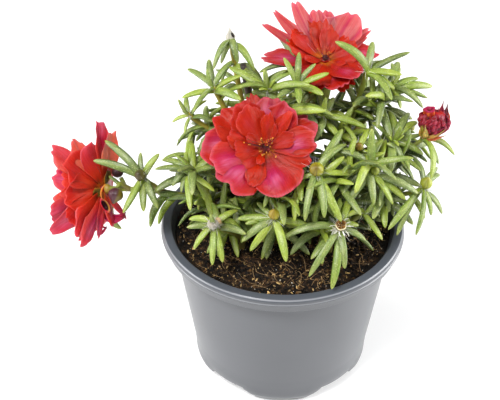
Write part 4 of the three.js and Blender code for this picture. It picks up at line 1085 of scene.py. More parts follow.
def add_stems(surfaces, name, shoots, rng):
    """Round stems: a tube along each shoot, swollen a little at each leaf joint, green above and redder below."""
    for s in shoots:
        t = np.linspace(0, 1, max(10, int(s["length"] / 2.2)))
        line = cubic(s["line"], t)
        if not s["grows_from"]:
            deep = np.linspace(STEM["root_depth"], 1, 5)[:, None] * DOWN + line[0]
            line, t = np.concatenate((deep, line)), np.concatenate((np.zeros(5), t))
        line = np.concatenate((line, s["to"] + s["axis"] * np.array((0.6, STEM["tip_reach"]))[:, None]))
        t = np.concatenate((t, (1, 1)))
        radii = (1.0 if s.get("fine") else 1.32 if s["grows_from"] else 1.5) - 0.25 * t
        radii = radii * (1 + 0.14 * np.maximum(0, np.sin(t * s["length"] / 1.6 + rng.uniform(0, 6))) ** 6)
        old = 0.75 * smooth(0.95, 0.1, t + rng.uniform(-0.15, 0.15))
        tints = layered(STEM_GREEN, (STEM_RED, old), (YOUNG, 0.35 * smooth(0.7, 1, t)))
        if name in ("stem_top_left", "stem_upper_left"):
            tints = mixed(tints, STEM_YELLOW, 0.8 * smooth(0.3, 0.6, t))
        tube(surfaces, line, radii, 10, tints, 1)
        if s["cup"]:
            cup = [(0.01, -1.4), (1.2, -1.2), (1.9, -0.4), (STEM["cup_r"], 0.9), (2.3, 1.2), (0.01, 1.3)]
            turned(surfaces, cup, s["to"], s["axis"], 16, colour(168, 140, 56), 1)


def add_dead_stem(surfaces):
    """A bare, dark, dry stem that stands beside the tallest one and ends in a blunt break."""
    t = np.linspace(0, 1, 24)
    knots = 1 + 0.16 * np.sin(9 * t + 1) + 0.10 * np.sin(23 * t)
    tube(surfaces, cubic(DEAD_STEM, t), (1.2 + 0.5 * t) * knots, 9, STEM_DEAD, 1)


def make_plants(grown, sides):
    """One piece for each leafy stem."""
    rng = np.random.default_rng(3)
    crown_depth_shade(grown)
    for name, _, shoots in PLANTS:
        plant = Surfaces()
        add_stems(plant, name, shoots + sides[name], rng)
        add_leaves(plant, grown[name], rng)
        if name == "stem_top_left":
            add_dead_stem(plant)
        put("leafy_" + name, plant, [LEAF_SKIN, STEM_SKIN], name)


def make_hairs():
    """White hairs in the axils: fine bent cones that spread from each tip and bud, and a woolly tuft on one tip."""
    rng = np.random.default_rng(21)
    hairs, t = Surfaces(), np.linspace(0, 1, 5)
    for name, index, s in every_shoot():
        if not (s["leaves"] or s["ring"][0]):
            continue
        woolly = name == "stem_front_left"
        spread, high, thick, reaches = (85, 3.0, 0.15, (1.2, 2.8)) if woolly else (60, 1.2, 0.1, (2.5, 6))
        for _ in range(WOOLLY_HAIRS if woolly else MANY_HAIRS if (name, index) in HAIRY else FEW_HAIRS):
            way = clock_direction(s["frame"], rng.uniform(0, 360), rng.uniform(0, spread))
            start = s["to"] + s["axis"] * rng.uniform(-1, high) + way * 1.0
            bend = rng.normal(size=3) * 1.3
            line = start + way * (t * rng.uniform(*reaches))[:, None] + bend * (t * t)[:, None]
            pale = mixed(colour(168, 160, 140), colour(240, 238, 228), rng.uniform())
            tube(hairs, line, thick * (1 - 0.7 * t), 3, pale if woolly else colour(242, 242, 234))
        if woolly:
            bead = [(0.01, -0.5), (1.7, 0), (2.5, 1.4), (2.4, 2.9), (1.5, 4.4), (0.01, 5.0)]
            rows = mixed(colour(206, 203, 190), colour(150, 130, 100), (0, 0, 0, 0.1, 0.5, 0.7))
            turned(hairs, bead, s["to"], s["axis"], 16, rows, relief=lambda a, row: 1 + 0.1 * np.sin(5 * a + 2 * row))
            flake = [(0.01, 0), (1.1, 0.3), (1.5, 1.6), (1.1, 3.0), (0.01, 3.4)]
            rows = mixed(colour(206, 182, 140), colour(190, 142, 70), (0, 0.2, 0.7, 0.3, 0))
            turned(hairs, flake, s["to"] + np.array((1.7, -0.4, 1.2)), (0.3, 0.2, 0.9), 14, rows,
                   relief=lambda a, row: 0.8 + 0.35 * np.sin(2 * a + row) + 0.12 * np.sin(5 * a))
    put("axil_hairs", hairs, [HUSK_SKIN])


# ---- Blooms ----
PETAL_S = 30
PETAL_Q = 25
ORANGE, DEEP, MAGENTA, PINK = colour(168, 32, 4), colour(124, 12, 4), colour(160, 22, 80), colour(206, 112, 138)
CLAW, SALMON, CRIMSON, ROSE = colour(196, 112, 24), colour(180, 94, 80), colour(146, 18, 32), colour(186, 38, 58)
SHELL, CORAL_PAINTED_LIGHTER, EMBER, FLAME_PAINTED_LIGHTER = colour(180, 98, 102), colour(246, 122, 96), colour(170, 33, 0), colour(198, 50, 18)
BROWN = colour(60, 30, 14)

# How each petal of a bloom looks, in the order of its table: magenta oval, partly flush and partly painted sheen, pale
# outer half, ragged edge, and where set the place of the oval along it.
LOOKS = {
    "bloom_front": [(0, 0, 0), (1, 0, 0, 0.55), (0.9, 0, 0.1, 0.6), (0.3, 0, 0.1), (0.5, 0, 0), (0.9, 0.1, 0.1),
                    (0.1, 0, 0.5), (0.05, 0, 0.1), (0, 0, 0.1), (0.85, 0, 0.1, 0.72), (0.8, 0, 0, 0.72),
                    (0.9, 0, 0.1, 0.7), (0, 0, 0), (1, 0, 0, 0.6), (0, 0, 0.2), (0, 0, 0), (0, 0, 0)],
    "bloom_top": [(1, 0.15, 0.5), (0.1, 0.6, 0.15), (0.1, 0.7, 0.15), (0.15, 1, 0.1), (0.3, 1, 0.1), (0.3, 1, 0.15),
                  (0.35, 1, 0.25), (0.3, 0.7, 0.5), (0.7, 0.1, 0.4), (0.5, 0, 0.2), (0.3, 0, 0.3), (0, 0, 0.4),
                  (0.1, 0, 0.2), (0, 0, 0.6), (0, 0, 0), (0.2, 0, 0)],
    "bloom_left": [(1, 0.1, 0), (0, 1, 0), (0.1, 0.6, 0.3), (0.5, 0.2, 0), (1, 0, 0), (0.1, 0, 0),
                   (0.3, 0, 0), (0.1, 0, 0), (0.2, 0.3, 0), (1, 0.1, 0), (1, 0.1, 0), (0.3, 0, 0),
                   (1, 0.1, 0), (1, 0.1, 0.1), (1, 0.1, 0.3), (0.9, 0, 0.2), (0.2, 0, 0), (0.5, 0, 0),
                   (0.3, 0, 0)],
}
# Petals that the finished surface has narrower or wider than the solid, by bloom and place in its table.
SLIM = {"bloom_top": {0: 0.75, 1: 0.66, 2: 0.66, 3: 0.6, 4: 0.85, 5: 0.65, 6: 0.85, 7: 0.7, 8: 0.8},
        "bloom_left": {2: 1.2, 3: 1.25, 4: 1.2, 5: 1.3, 6: 1.2, 7: 1.25, 8: 1.2, 9: 1.15, 10: 1.2, 14: 0.45, 15: 0.6}}
# Small inner petals as (clock direction, length, half width, raise), which only the finished surface has.
INNER = {
    "bloom_front": [(120, 20, 7, 22), (155, 18, 7, 16), (84, 16, 3.0, 30), (18, 14, 3.6, 16), (53, 20, 3.0, 26),
                    (222, 15, 6, 14), (190, 14, 6, 14), (250, 20, 4.5, 14)],
    "bloom_top": [(152, 19, 7, 14), (130, 21, 7.5, 16), (110, 18, 7, 18), (91, 18.5, 6.5, 20), (73, 14, 4.5, 20),
                  (40, 14, 6, 16), (15, 16, 6, 14), (310, 14, 5, 22), (300, 20, 7, 10), (240, 22, 8, 6)],
    "bloom_left": [(20, 20, 7, 40), (340, 20, 7, 44), (120, 16, 6, 30), (200, 18, 6, 36), (260, 18, 6, 30),
                   (60, 22, 8, 36), (310, 24, 7, 30)],
}
# Curled petals at the left bloom's lower edge, as (three points of the midrib, half width), and its sepals.
CURLS = [(((-88, -6, 94.5), (-84.5, -9, 89.5), (-76.3, -8, 94.5)), 2.3),
         (((-91, -4, 93), (-90.5, -7, 86), (-86.2, -6, 84.6)), 0.7),
         (((-86.4, -6, 85.2), (-87.6, -6, 82), (-90.4, -6, 80.4)), 0.9)]
SEPALS = [(95, 8, 2.6, -14), (335, 6.5, 2.6, 8), (262, 6.5, 2.6, -22)]
# How many stamens each bloom has, and those of the front bloom that lean far out, as (clock direction, count, length).
STAMENS = {"bloom_front": 16, "bloom_top": 6, "bloom_left": 16}
STRAYS = [(168, 5, 8.5), (40, 5, 5), (250, 5, 5.5), (305, 2, 7.5)]
ROUNDED = {"bloom_left": 0.13, "bloom_top": 0.06}
# The left bloom's petals are seen from their sides: their magenta ovals, partly flush and partly painted sheen, are
# this much broader, and most are a lighter flame red, painted lighter where they lie in shade.
BROAD = 1.6
LEFT_ORANGE = (0, 1, 2, 3, 4, 8, 9, 10)
# A petal raised more than this, in degrees, is drawn shorter, narrower and lower than the solid's, by these factors.
STEEP, STEEP_FACTORS = 40, np.array((1, 0.85, 0.55, 0.6))
STYLE_LOBES = 5
# Petals of the withered bloom, seeds and dry shreds of the capsule.
SPENT_PETALS, SEEDS, SHREDS = 18, 7, 20


def crumpled(bloom, petal, order, ragged, rng):
    """The petal's middle surface with its own edge and creases: sines of random phase, which grow towards the edge,
    lift it, and the edge is set back by shallow lobes and, where ragged, by teeth."""
    name, plain = bloom["name"], petal_surface(bloom, petal, order)
    along = seat_of(bloom["on"])[1]
    narrow = SLIM.get(name, {}).get(order, 1) < 0.7
    size = petal[2] / 8 * (0.6 if narrow else 1)
    f = rng.uniform(0, 2 * math.pi, 8)
    lean, curl, steep = rng.uniform(-0.35, 0.35), rng.uniform(-1.2, 1.8), rng.uniform(0.6, 1.5)
    filled = rng.uniform(0.05, 0.10) + (0.06 if narrow else 0)
    rounded = ROUNDED.get(name, 0) + (0.1 if narrow else 0)
    spoon = 0.7 if narrow and name == "bloom_top" else 0

    def surface(s, q):
        lobes = 0.028 * np.sin(4.3 * q + f[0]) + 0.018 * np.sin(8 * q + f[1]) - 0.05 * ragged
        lobes = lobes + filled * hump(q, 0, 0.27) - rounded * np.abs(q) ** 3
        teeth = 0.10 * ragged * np.abs(np.sin(6.5 * q + f[2])) ** 1.5 + 0.05 * ragged * np.sin(17 * q + f[3])
        set_back = 0.965 * s * (1 + lobes * s ** 2 + teeth * s ** 4)
        p = plain(np.minimum(set_back, 1.12), q * (1 + 0.10 * s + spoon * s ** 3 + 0.04 * np.sin(7 * s + f[4])))
        waves = np.sin(2.6 * (q - lean) + f[5] + 1.2 * s) * s ** 1.2 * steep
        waves = waves + 0.55 * np.sin(5.6 * q + f[6] - 2 * s) * s ** 2 + 0.28 * np.sin(11 * q + f[7] + 3 * s) * s ** 3
        waves = waves + 0.4 * np.sin(5 * s + f[0]) * s * (1 - 0.6 * q * q)
        waves = waves + 0.3 * np.sin(15 * q + f[1] + 2 * s) * s ** 7
        bulge = 1.5 * np.exp(-((s - 0.68) / 0.22) ** 2 - ((q + 0.6 * lean) / 0.5) ** 2)
        crease = -0.9 * hump(q, lean, 0.12) * np.sin(math.pi * np.minimum(1, s * 1.1)) * steep
        return p + along * ((waves + bulge + 0.5 * crease + curl * s ** 4) * size)[..., None]

    return surface


def add_petal(surfaces, surface, tone, look):
    """A thin petal: its middle surface moved half its thickness to either side along its normal, and closed round
    its edge. It thins towards the edge."""
    s, q = np.meshgrid(np.linspace(0, 1, PETAL_S) ** 0.85, np.linspace(1, -1, PETAL_Q), indexing="ij")
    middle = surface(s, q)
    normal = unit(np.cross(np.gradient(middle, axis=0), np.gradient(middle, axis=1)))
    thick = normal * (0.20 * (1 - 0.6 * np.abs(q) ** 5) * (1 - 0.5 * s ** 6))[..., None]

    def both(top, under):
        return np.concatenate((top, under[:, ::-1]), 1).reshape(-1, 3)

    around, j = 2 * PETAL_Q, np.arange(PETAL_Q - 1)
    near = np.stack((j + 1, j, around - 1 - j, around - 2 - j), -1)
    far = (PETAL_S - 1) * around + near[:, [1, 0, 3, 2]]
    tints, form = look(s, q), np.stack((s, q, np.full_like(s, 10 * tone)), -1)
    surfaces.add(both(middle + thick, middle - thick), [rows[:, ::-1] for rows in (grid(PETAL_S, around), near, far)],
                 both(tints, tints), 0, both(form, form))


def petal_look(blush_and_sheen, pale, rng, ground, claw, left, at=None):
    """A petal's colours: orange-red, deeper at its base and yellow at its claw. Where blush_and_sheen is set, a soft
    magenta oval, partly the petal's own flush and partly painted sheen, lies on its outer half with a painted pale
    highlight at its heart; where pale is set, its outer half is salmon with crimson streaks. The left bloom's ovals are
    broad, its pale petals are plain coral, painted lighter where they lie in shade, and its claws are brown.
    """
    lean, middle, wide, tone = rng.uniform(-0.35, 0.35), rng.uniform(0.52, 0.74), rng.uniform(0.35, 0.6), rng.uniform()
    middle = middle + (0.2 * (BROAD - 1) if left else 0) if at is None else at
    wide, long = (BROAD * wide, 0.21 * BROAD) if left else (wide, 0.24)
    rim = 0.3 if blush_and_sheen > 0.2 or pale > 0.2 else 0.08

    def look(s, q):
        oval = np.exp(-((s - middle) / long) ** 2 - ((q - lean) / wide) ** 2)
        heart = np.exp(-((s - middle - 0.05) / 0.10) ** 2 - ((q - lean - 0.1) / (0.45 * wide)) ** 2)
        veins = 0.5 + 0.5 * np.sin(26 * q + 3 * np.sin(4 * s) + 9 * tone)
        streaks = 0.5 + 0.5 * np.sin(13 * q + 9 * tone + 2 * s) * np.sin(5 * q + 20 * tone)
        outer, streaked = pale * smooth(0.3, 0.6, s), 1 - 0.5 * (claw > 0.25) * (0.5 + 0.5 * np.sin(11 * q))
        # The left bloom's coral is painted lighter on pale petals that lie in shade: painted light.
        if left:
            brown = 0.8 * smooth(0.32, 0.12, s) * (0.5 + 0.5 * np.sin(6 * q + 9 * tone))
            glow, pales, base = 0.12, [(CORAL_PAINTED_LIGHTER, np.clip(outer * 0.85, 0, 1))], [(BROWN, brown)]
        else:
            light = mixed(SALMON, SHELL, 0.75 * smooth(0.2, 0.8, streaks))
            dark = np.clip(0.75 * pale * (1 - streaks) ** 2 * smooth(0.3, 0.5, s), 0, 1)
            glow, pales, base = 0, [(light, np.clip(outer * (0.5 + 0.5 * streaks), 0, 1)), (MAGENTA, dark)], []
        # The magenta oval is partly the petal's own flush and partly painted sheen; the pale pink at its heart is a
        # painted highlight.
        return layered(ground, (CRIMSON, 0.2 * tone + 0 * s), (ROSE, glow * smooth(0.45, 0.85, s)),
                       (DEEP, 0.5 * smooth(0.4, 0.05, s)),
                       (MAGENTA, np.clip(1.15 * blush_and_sheen * oval * (0.72 + 0.28 * veins), 0, 1)),
                       (PINK, np.clip(0.6 * blush_and_sheen * heart * (0.35 + 0.65 * veins), 0, 1)), *pales,
                       (PINK, rim * (claw < 0.3) * smooth(0.9, 1, s)), *base,
                       (CLAW, (0.45 if left else 0.75) * smooth(claw, 0.02, s) * streaked))

    return look


def add_curls(surfaces, bloom, rng):
    """Dry, curled petals below the bloom, each a cupped strip along its midrib, one rolled to an oval hollow, and the
    sepals behind its petals."""
    for line, half_width in CURLS:
        line = np.array(line, float)
        back = unit(np.cross(line[2] - line[0], CLOCK_UP))

        def strip(s, q):
            w = half_width * (0.45 + 0.55 * np.sin(math.pi * (0.12 + 0.8 * s))) * (1 + 0.10 * np.sin(9 * s + 4 * q))
            crease = 0.35 * np.sin(7 * q + 5 * s) + 0.2 * np.sin(15 * s + 3 * q)
            return (quadratic(line, s) + CLOCK_UP * (w * q)[..., None]
                    + back * ((0.5 * crease - 0.6 * q * q) * half_width * 0.6)[..., None])

        def shade(s, q):
            return layered(MAGENTA, (CRIMSON, 0.7 * hump(q, 0, 0.6)), (colour(92, 14, 24), smooth(0.8, 1, s)))

        add_petal(surfaces, strip, rng.uniform(), shade)
    t = np.linspace(0, 1, 12)
    line = quadratic(np.array(((-84.6, -8.5, 113.5), (-88.4, -10, 109.5), (-86.3, -9.5, 104.2))), t)
    tube(surfaces, line, 0.48 * np.sin(math.pi * (0.12 + 0.8 * t)), 8,
         mixed(colour(190, 116, 40), CRIMSON, 0.7 * smooth(0.8, 1, t)))
    hollow = np.array([(0.01, -2.4), (0.5, -2.3), (0.82, -1.2), (1.0, 0), (0.94, 0.2), (0.8, 0.1), (0.6, -1.0),
                       (0.3, -1.9), (0.01, -2.0)]) * (4.1, 1)
    # Painted shade: the hollow's inner rows are painted near black.
    rows = np.repeat((CRIMSON, ROSE, colour(44, 12, 16)), 3, 0)[:, None]
    edge = smooth(-0.2, 0.6, np.cos(circle(28) + 2.18)) * (np.abs(np.arange(9) - 4) < 2)[:, None]
    turned(surfaces, hollow, np.array((-85.6, -9.5, 101.3)), (0.2, -0.77, 0.6), 28,
           mixed(rows, colour(172, 134, 54), 0.8 * edge),
           relief=lambda a, row: 1 / np.sqrt(np.cos(a + 0.44) ** 2 + (np.sin(a + 0.44) / 0.42) ** 2))

    def cover(s, q):
        return layered(colour(112, 96, 34), (colour(60, 44, 20), 0.6 * hump(q, 0, 0.5) + 0 * s),
                       (colour(206, 116, 36), 0.8 * smooth(0.7, 1, np.abs(q))))

    for order, sepal in enumerate(SEPALS):
        add_petal(surfaces, crumpled(bloom, sepal, order, 0, rng), rng.uniform(), cover)


def make_blooms():
    """One piece for each bloom: its receptacle, its petals, and the small inner petals set between them."""
    for number, bloom in enumerate(BLOOMS):
        rng, surfaces = np.random.default_rng(40 + number), Surfaces()
        name, known = bloom["name"], len(bloom["petals"])
        left, top = name == "bloom_left", name == "bloom_top"
        at, along, axes = seat_of(bloom["on"])
        cup = [(0.01, 0), (RECEPTACLE["low"], 0), (2.1, 0.8), (RECEPTACLE["high"], 1.8), (2.2, RECEPTACLE["height"]),
               (0.01, 3.3)]
        turned(surfaces, cup, at, along, 20, DEEP)
        looks = LOOKS[name] + [(0.1, 0, 0.7 if top else 0.3)] * len(INNER[name])
        petals = zip(bloom["petals"] + INNER[name], looks)
        for order, (petal, (blush_and_sheen, pale, ragged, *middle)) in enumerate(petals):
            clock, length, half_width, lift = petal * STEEP_FACTORS if petal[3] > STEEP and not left else petal
            slim, inner = SLIM.get(name, {}).get(order, 1), order >= known
            surface = crumpled(bloom, (clock, length, slim * half_width, lift), order, ragged, rng)
            # The left bloom's petals outside LEFT_ORANGE get a lighter flame red: painted light on petals that lie in
            # shade.
            ground = FLAME_PAINTED_LIGHTER if left and order not in LEFT_ORANGE else EMBER if inner else ORANGE
            look = petal_look(blush_and_sheen, pale, rng, ground, 0.38 if inner and top else 0.2, left, *middle)
            add_petal(surfaces, surface, rng.uniform(), look)
        if left:
            add_curls(surfaces, bloom, rng)
        put("petals_" + name, surfaces, [PETAL_SKIN], name)
        make_stamens(bloom, at + along * (RECEPTACLE["height"] + CLEARANCE), along, axes, rng)


def make_stamens(bloom, base, along, axes, rng):
    """A low dark boss with leaning filaments, each with an oval yellow anther, and a style with spread lobes."""
    surfaces, t = Surfaces(), np.linspace(0, 1, 5)
    turned(surfaces, [(0.01, 0), (1.5, 0), (1.6, 0.5), (1.0, 1.3), (0.01, 1.6)], base, along, 12, colour(70, 10, 12))
    count = STAMENS[bloom["name"]]
    places = [(GOLDEN * i, rng.uniform(4, 50), rng.uniform(2.4, 5.2)) for i in range(count)]
    for clock, count, reach in STRAYS if bloom["name"] == "bloom_front" else ():
        places += [(clock + rng.uniform(-9, 9), rng.uniform(60, 72), reach * rng.uniform(0.8, 1.1))
                   for _ in range(count)]
    for i, (clock, lean, reach) in enumerate(places):
        way = clock_direction(axes, clock, 90 - lean)
        start = base + along * 0.7 + clock_direction(axes, GOLDEN * i) * rng.uniform(0, 1.1)
        line = start + way * (t * reach)[:, None] + rng.normal(size=3) * (0.5 * t * t)[:, None]
        tube(surfaces, line, 0.2 * (1 - 0.3 * t), 5, mixed(colour(60, 8, 12), colour(140, 16, 14), rng.uniform()))
        grain = [(0.01, -0.34), (0.24, -0.2), (0.3, 0.1), (0.2, 0.34), (0.01, 0.42)]
        yellow = mixed(colour(120, 40, 12), colour(236, 160, 36), rng.uniform() ** 0.7)
        turned(surfaces, grain, line[-1], rng.normal(size=3), 7, yellow)
    for i in range(STYLE_LOBES):
        way = clock_direction(axes, 72 * i + 20, 60)
        line = base + along * (1 + 5.5 * np.minimum(1, t * 1.4))[:, None] + way * (2.4 * t * t)[:, None]
        tube(surfaces, line, 0.17 * (1 - 0.3 * t), 5, colour(196, 60, 24))
    name = bloom["name"].replace("bloom", "stamens")
    put("anthers_" + name, surfaces, [STAMEN_SKIN], name)


# ---- Buds and dry heads ----
# The colours of each bud's two sepals, and of its tip.
BUD_COLOURS = {
    "bud_left": ((92, 88, 34), (76, 66, 28), (40, 30, 20)),
    "bud_bloom_left_a": ((78, 36, 50), (116, 100, 26), (70, 50, 20)),
    "bud_bloom_left_b": ((84, 44, 56), (112, 92, 34), (70, 46, 40)),
    "bud_front_middle": ((172, 162, 38), (158, 136, 38), (152, 124, 32)),
    "bud_middle": ((164, 164, 26), (134, 120, 22), (104, 74, 20)),
    "bud_small": ((160, 172, 58), (142, 156, 48), (160, 150, 44)),
    "bud_inner": ((150, 146, 44), (136, 112, 36), (130, 92, 30)),
    "bud_right": ((168, 176, 58), (150, 156, 48), (176, 164, 60)),
    "bud_back": ((160, 160, 60), (140, 140, 50), (160, 130, 50)),
    "bud_back_right": ((160, 160, 60), (140, 140, 50), (160, 130, 50)),
}
UPRIGHT = ("bud_right", "bud_front_middle", "bud_small")


def make_buds():
    """Buds: an egg shape of two clasping sepals, pinched at the tip, with a ridge and a dark seam where they meet and
    fine stripes along them."""
    t, a = np.linspace(0, 1, 22), circle(40)
    row = t[:, None] + 0 * a

    def seam(a, row):
        meet = np.abs(np.abs(a - math.pi) - 1.5) + 0.006 * (row - 10) ** 2
        return 1 + 0.09 * hump(meet, 0, 0.22) - 0.10 * hump(meet, 0.28, 0.07)

    for name, plant, index, radius, height in BUDS:
        at, along, _ = seat_of((plant, index))
        lengthwise, upright = plant == "stem_left" and index > 1, name in UPRIGHT
        egg = np.sin(math.pi * t ** 0.8) ** 0.6 * (1 - (0.45 if lengthwise or upright else 0.25) * smooth(0.5, 1, t))
        egg = egg * (1.12 if lengthwise else 0.96)
        profile = np.stack((np.maximum(0.01, radius * egg), height * t * (1.25 if upright else 1)), -1)
        one, other, tip = (colour(*c) for c in BUD_COLOURS[name])
        split = smooth(-0.9, 0.9, np.sin(a + 0.8) + 1.4 * (row - 0.55) + 0.3 * np.sin(5 * a))
        split = smooth(-0.25, 0.25, np.sin(a + 2.2) + 0 * row) if lengthwise else split
        tints = layered(one, (other, split), (tip, 0.6 * smooth(0.7, 1, row)))
        tints = tints * (0.94 + 0.08 * np.sin(18 * a + 3 * row))[..., None]
        tints = mixed(tints, colour(60, 40, 22), 0.6 * hump(np.abs(np.abs(a - math.pi) - 1.5), 0.28, 0.08))
        bud = Surfaces()
        turned(bud, profile, at, along + (1.5 if upright else 0) * UP, 40, np.clip(tints, 0, 1), relief=seam)
        put("sepals_" + name, bud, [BUD_SKIN], name)


def make_capsule():
    """The open seed capsule: a bulging brown cup with a pale turned rim, darker ribs inside, dark seeds, and pale
    dry shreds that stand round it."""
    at, along, axes = seat_of(CAPSULE_ON)
    profile = [(0.01, 0), (1.3, 0), (2.1, 0.7), (2.5, 1.8), (2.4, 2.9), (2.5, 3.3), (2.66, 3.5), (2.6, 3.9), (2.3, 4.1),
               (2.0, 3.9), (1.8, 3.3), (1.3, 2.9), (0.7, 2.75), (0.01, 2.7)]
    brown, cream, inside = colour(110, 78, 26), colour(226, 218, 176), colour(138, 92, 22)
    row, a = np.arange(14)[:, None], circle(30)
    back = smooth(-0.3, 0.4, wheel(along, 30) @ CLOCK_UP) * ((row > 4) & (row < 9))
    tints = layered(np.array([brown] * 5 + [cream] * 4 + [inside] * 5)[:, None],
                    (colour(52, 28, 8), 0.85 * hump(np.sin(2.5 * a), 0, 0.3) * (row > 8)),
                    (colour(230, 212, 160), 0.8 * hump(np.sin(2.5 * a + 0.5), 0, 0.12) * (row > 10)),
                    (colour(104, 72, 20), 0.9 * back))
    capsule, t = Surfaces(), np.linspace(0, 1, 7)
    turned(capsule, profile, at, along, 30, tints, relief=lambda a, row: 1 + 0.04 * np.sin(5 * a) * (row > 4))
    for i in range(SEEDS):
        place = at + along * 2.7 + clock_direction(axes, 60 * i) * (1.0 if i else 0)
        turned(capsule, [(0.01, 0), (0.3, 0.12), (0.3, 0.35), (0.01, 0.5)], place, along, 8, colour(66, 34, 20))
    rng = np.random.default_rng(33)
    for i in range(SHREDS):
        clock = rng.uniform(0, 360) if i % 2 else rng.uniform(170, 370)
        out, side = clock_direction(axes, clock), clock_direction(axes, clock + 90)
        start = at + out * 2.2 + along * rng.uniform(0.2, 1.8)
        bend, rise, reach = rng.uniform(-1.8, 1.8), rng.uniform(0.3, 2.4), rng.uniform(1.6, 4.2)
        line = (start + out * (reach * np.sin(1.3 * t))[:, None] + along * (rise * t * t)[:, None]
                + side * (bend * t * t)[:, None])
        tube(capsule, line, rng.uniform(0.12, 0.42) * (1 - 0.75 * t * t), 5,
             mixed(colour(206, 204, 180), colour(246, 246, 240), rng.uniform()))
    put("capsule_cup", capsule, [HUSK_SKIN], "seed_capsule")


def make_dry_cap():
    """The dry husk: a papery cone with folds along it, and at its shoulder a dark lump and a darker patch, painted
    shade that stands for a hole.
    """
    at, along, _ = seat_of(CAP_ON)
    t, a = np.linspace(0, 1, 20), circle(28)
    r = np.maximum(0.01, 2.35 * smooth(0, 0.1, t) * (1 - t) ** 0.85 * (1 + 0.12 * np.sin(7 * t)))
    # Painted shade: the side round the hole is painted darker.
    spot = hump(t[:, None], 0.4, 0.2) * smooth(0.62, 0.9, wheel(along, 28) @ unit((0.8, -0.6, 0)))
    tints = mixed(colour(214, 210, 198), colour(150, 140, 118), 0.5 * (0.5 + 0.5 * np.sin(5 * a)))
    cap = Surfaces()
    turned(cap, np.stack((r, 6.6 * t), -1), at - along * 0.5, along, 28, mixed(tints, colour(60, 46, 34), 0.6 * spot),
           relief=lambda a, row: 1 + 0.10 * np.sin(5 * a + 0.25 * row))
    # A dark lump stands for the hole: painted shade.
    painted_hole_shade = [(0.01, -1.5), (0.5, -1.1), (0.75, 0), (0.5, 1.1), (0.01, 1.5)]
    turned(cap, painted_hole_shade, at + along * 2.2 + np.array((1.15, -0.95, 0)), along + np.array((-0.3, 0.2, 0)), 12,
           colour(26, 16, 14), 1)
    put("husk", cap, [HUSK_SKIN, PETAL_SKIN], "dry_cap")


# The withered bloom's colours, and its strips as (three points of the midrib, half width, colour, colour of the
# edge), each point as (right, up, forward) from its seat.
TAN, OLIVE, RUST = colour(206, 158, 84), colour(150, 132, 44), colour(200, 104, 56)
WINE, DARK, FADED_AND_HIGHLIGHT = colour(126, 14, 40), colour(60, 8, 20), colour(168, 64, 84)
SCARLET, AMBER = colour(166, 40, 26), colour(214, 110, 46)
STRIPS = [
    ((6.2, 6.5, 2.5), (7.3, 11, 2.0), (8.6, 16.4, 0), 2.3, WINE, FADED_AND_HIGHLIGHT),
    ((8.6, 6.5, 2), (9.2, 11, 1.5), (10.8, 15.2, 0), 1.7, colour(92, 20, 30), colour(44, 14, 18)),
    ((9.6, 6, 2), (10.4, 9, 1.5), (10.6, 12.4, 0), 1.5, colour(110, 26, 26), AMBER),
    ((8.6, 3, 2), (9.6, 5, 2.5), (10.9, 5.8, 2), 1.1, WINE, FADED_AND_HIGHLIGHT),
    ((4.4, 6, 4), (5.4, 9, 3.6), (5.6, 12.8, 2), 1.9, WINE, FADED_AND_HIGHLIGHT),
    ((-0.6, -1, 2.5), (-2.4, 2.4, 6.2), (-2.0, 7.4, 5.2), 2.5, OLIVE, TAN),
    ((-0.4, -1.4, 4), (-1.0, 0.8, 7.4), (-1.2, 4.2, 7.8), 1.4, colour(206, 186, 100), TAN),
    ((0, -1.6, 2.5), (4.8, -1.4, 7), (9.0, 2.8, 5.4), 0.9, TAN, RUST),
    ((0.4, -2.0, 2), (5.6, -2.2, 5.6), (9.2, -0.4, 4.2), 1.2, RUST, TAN),
]


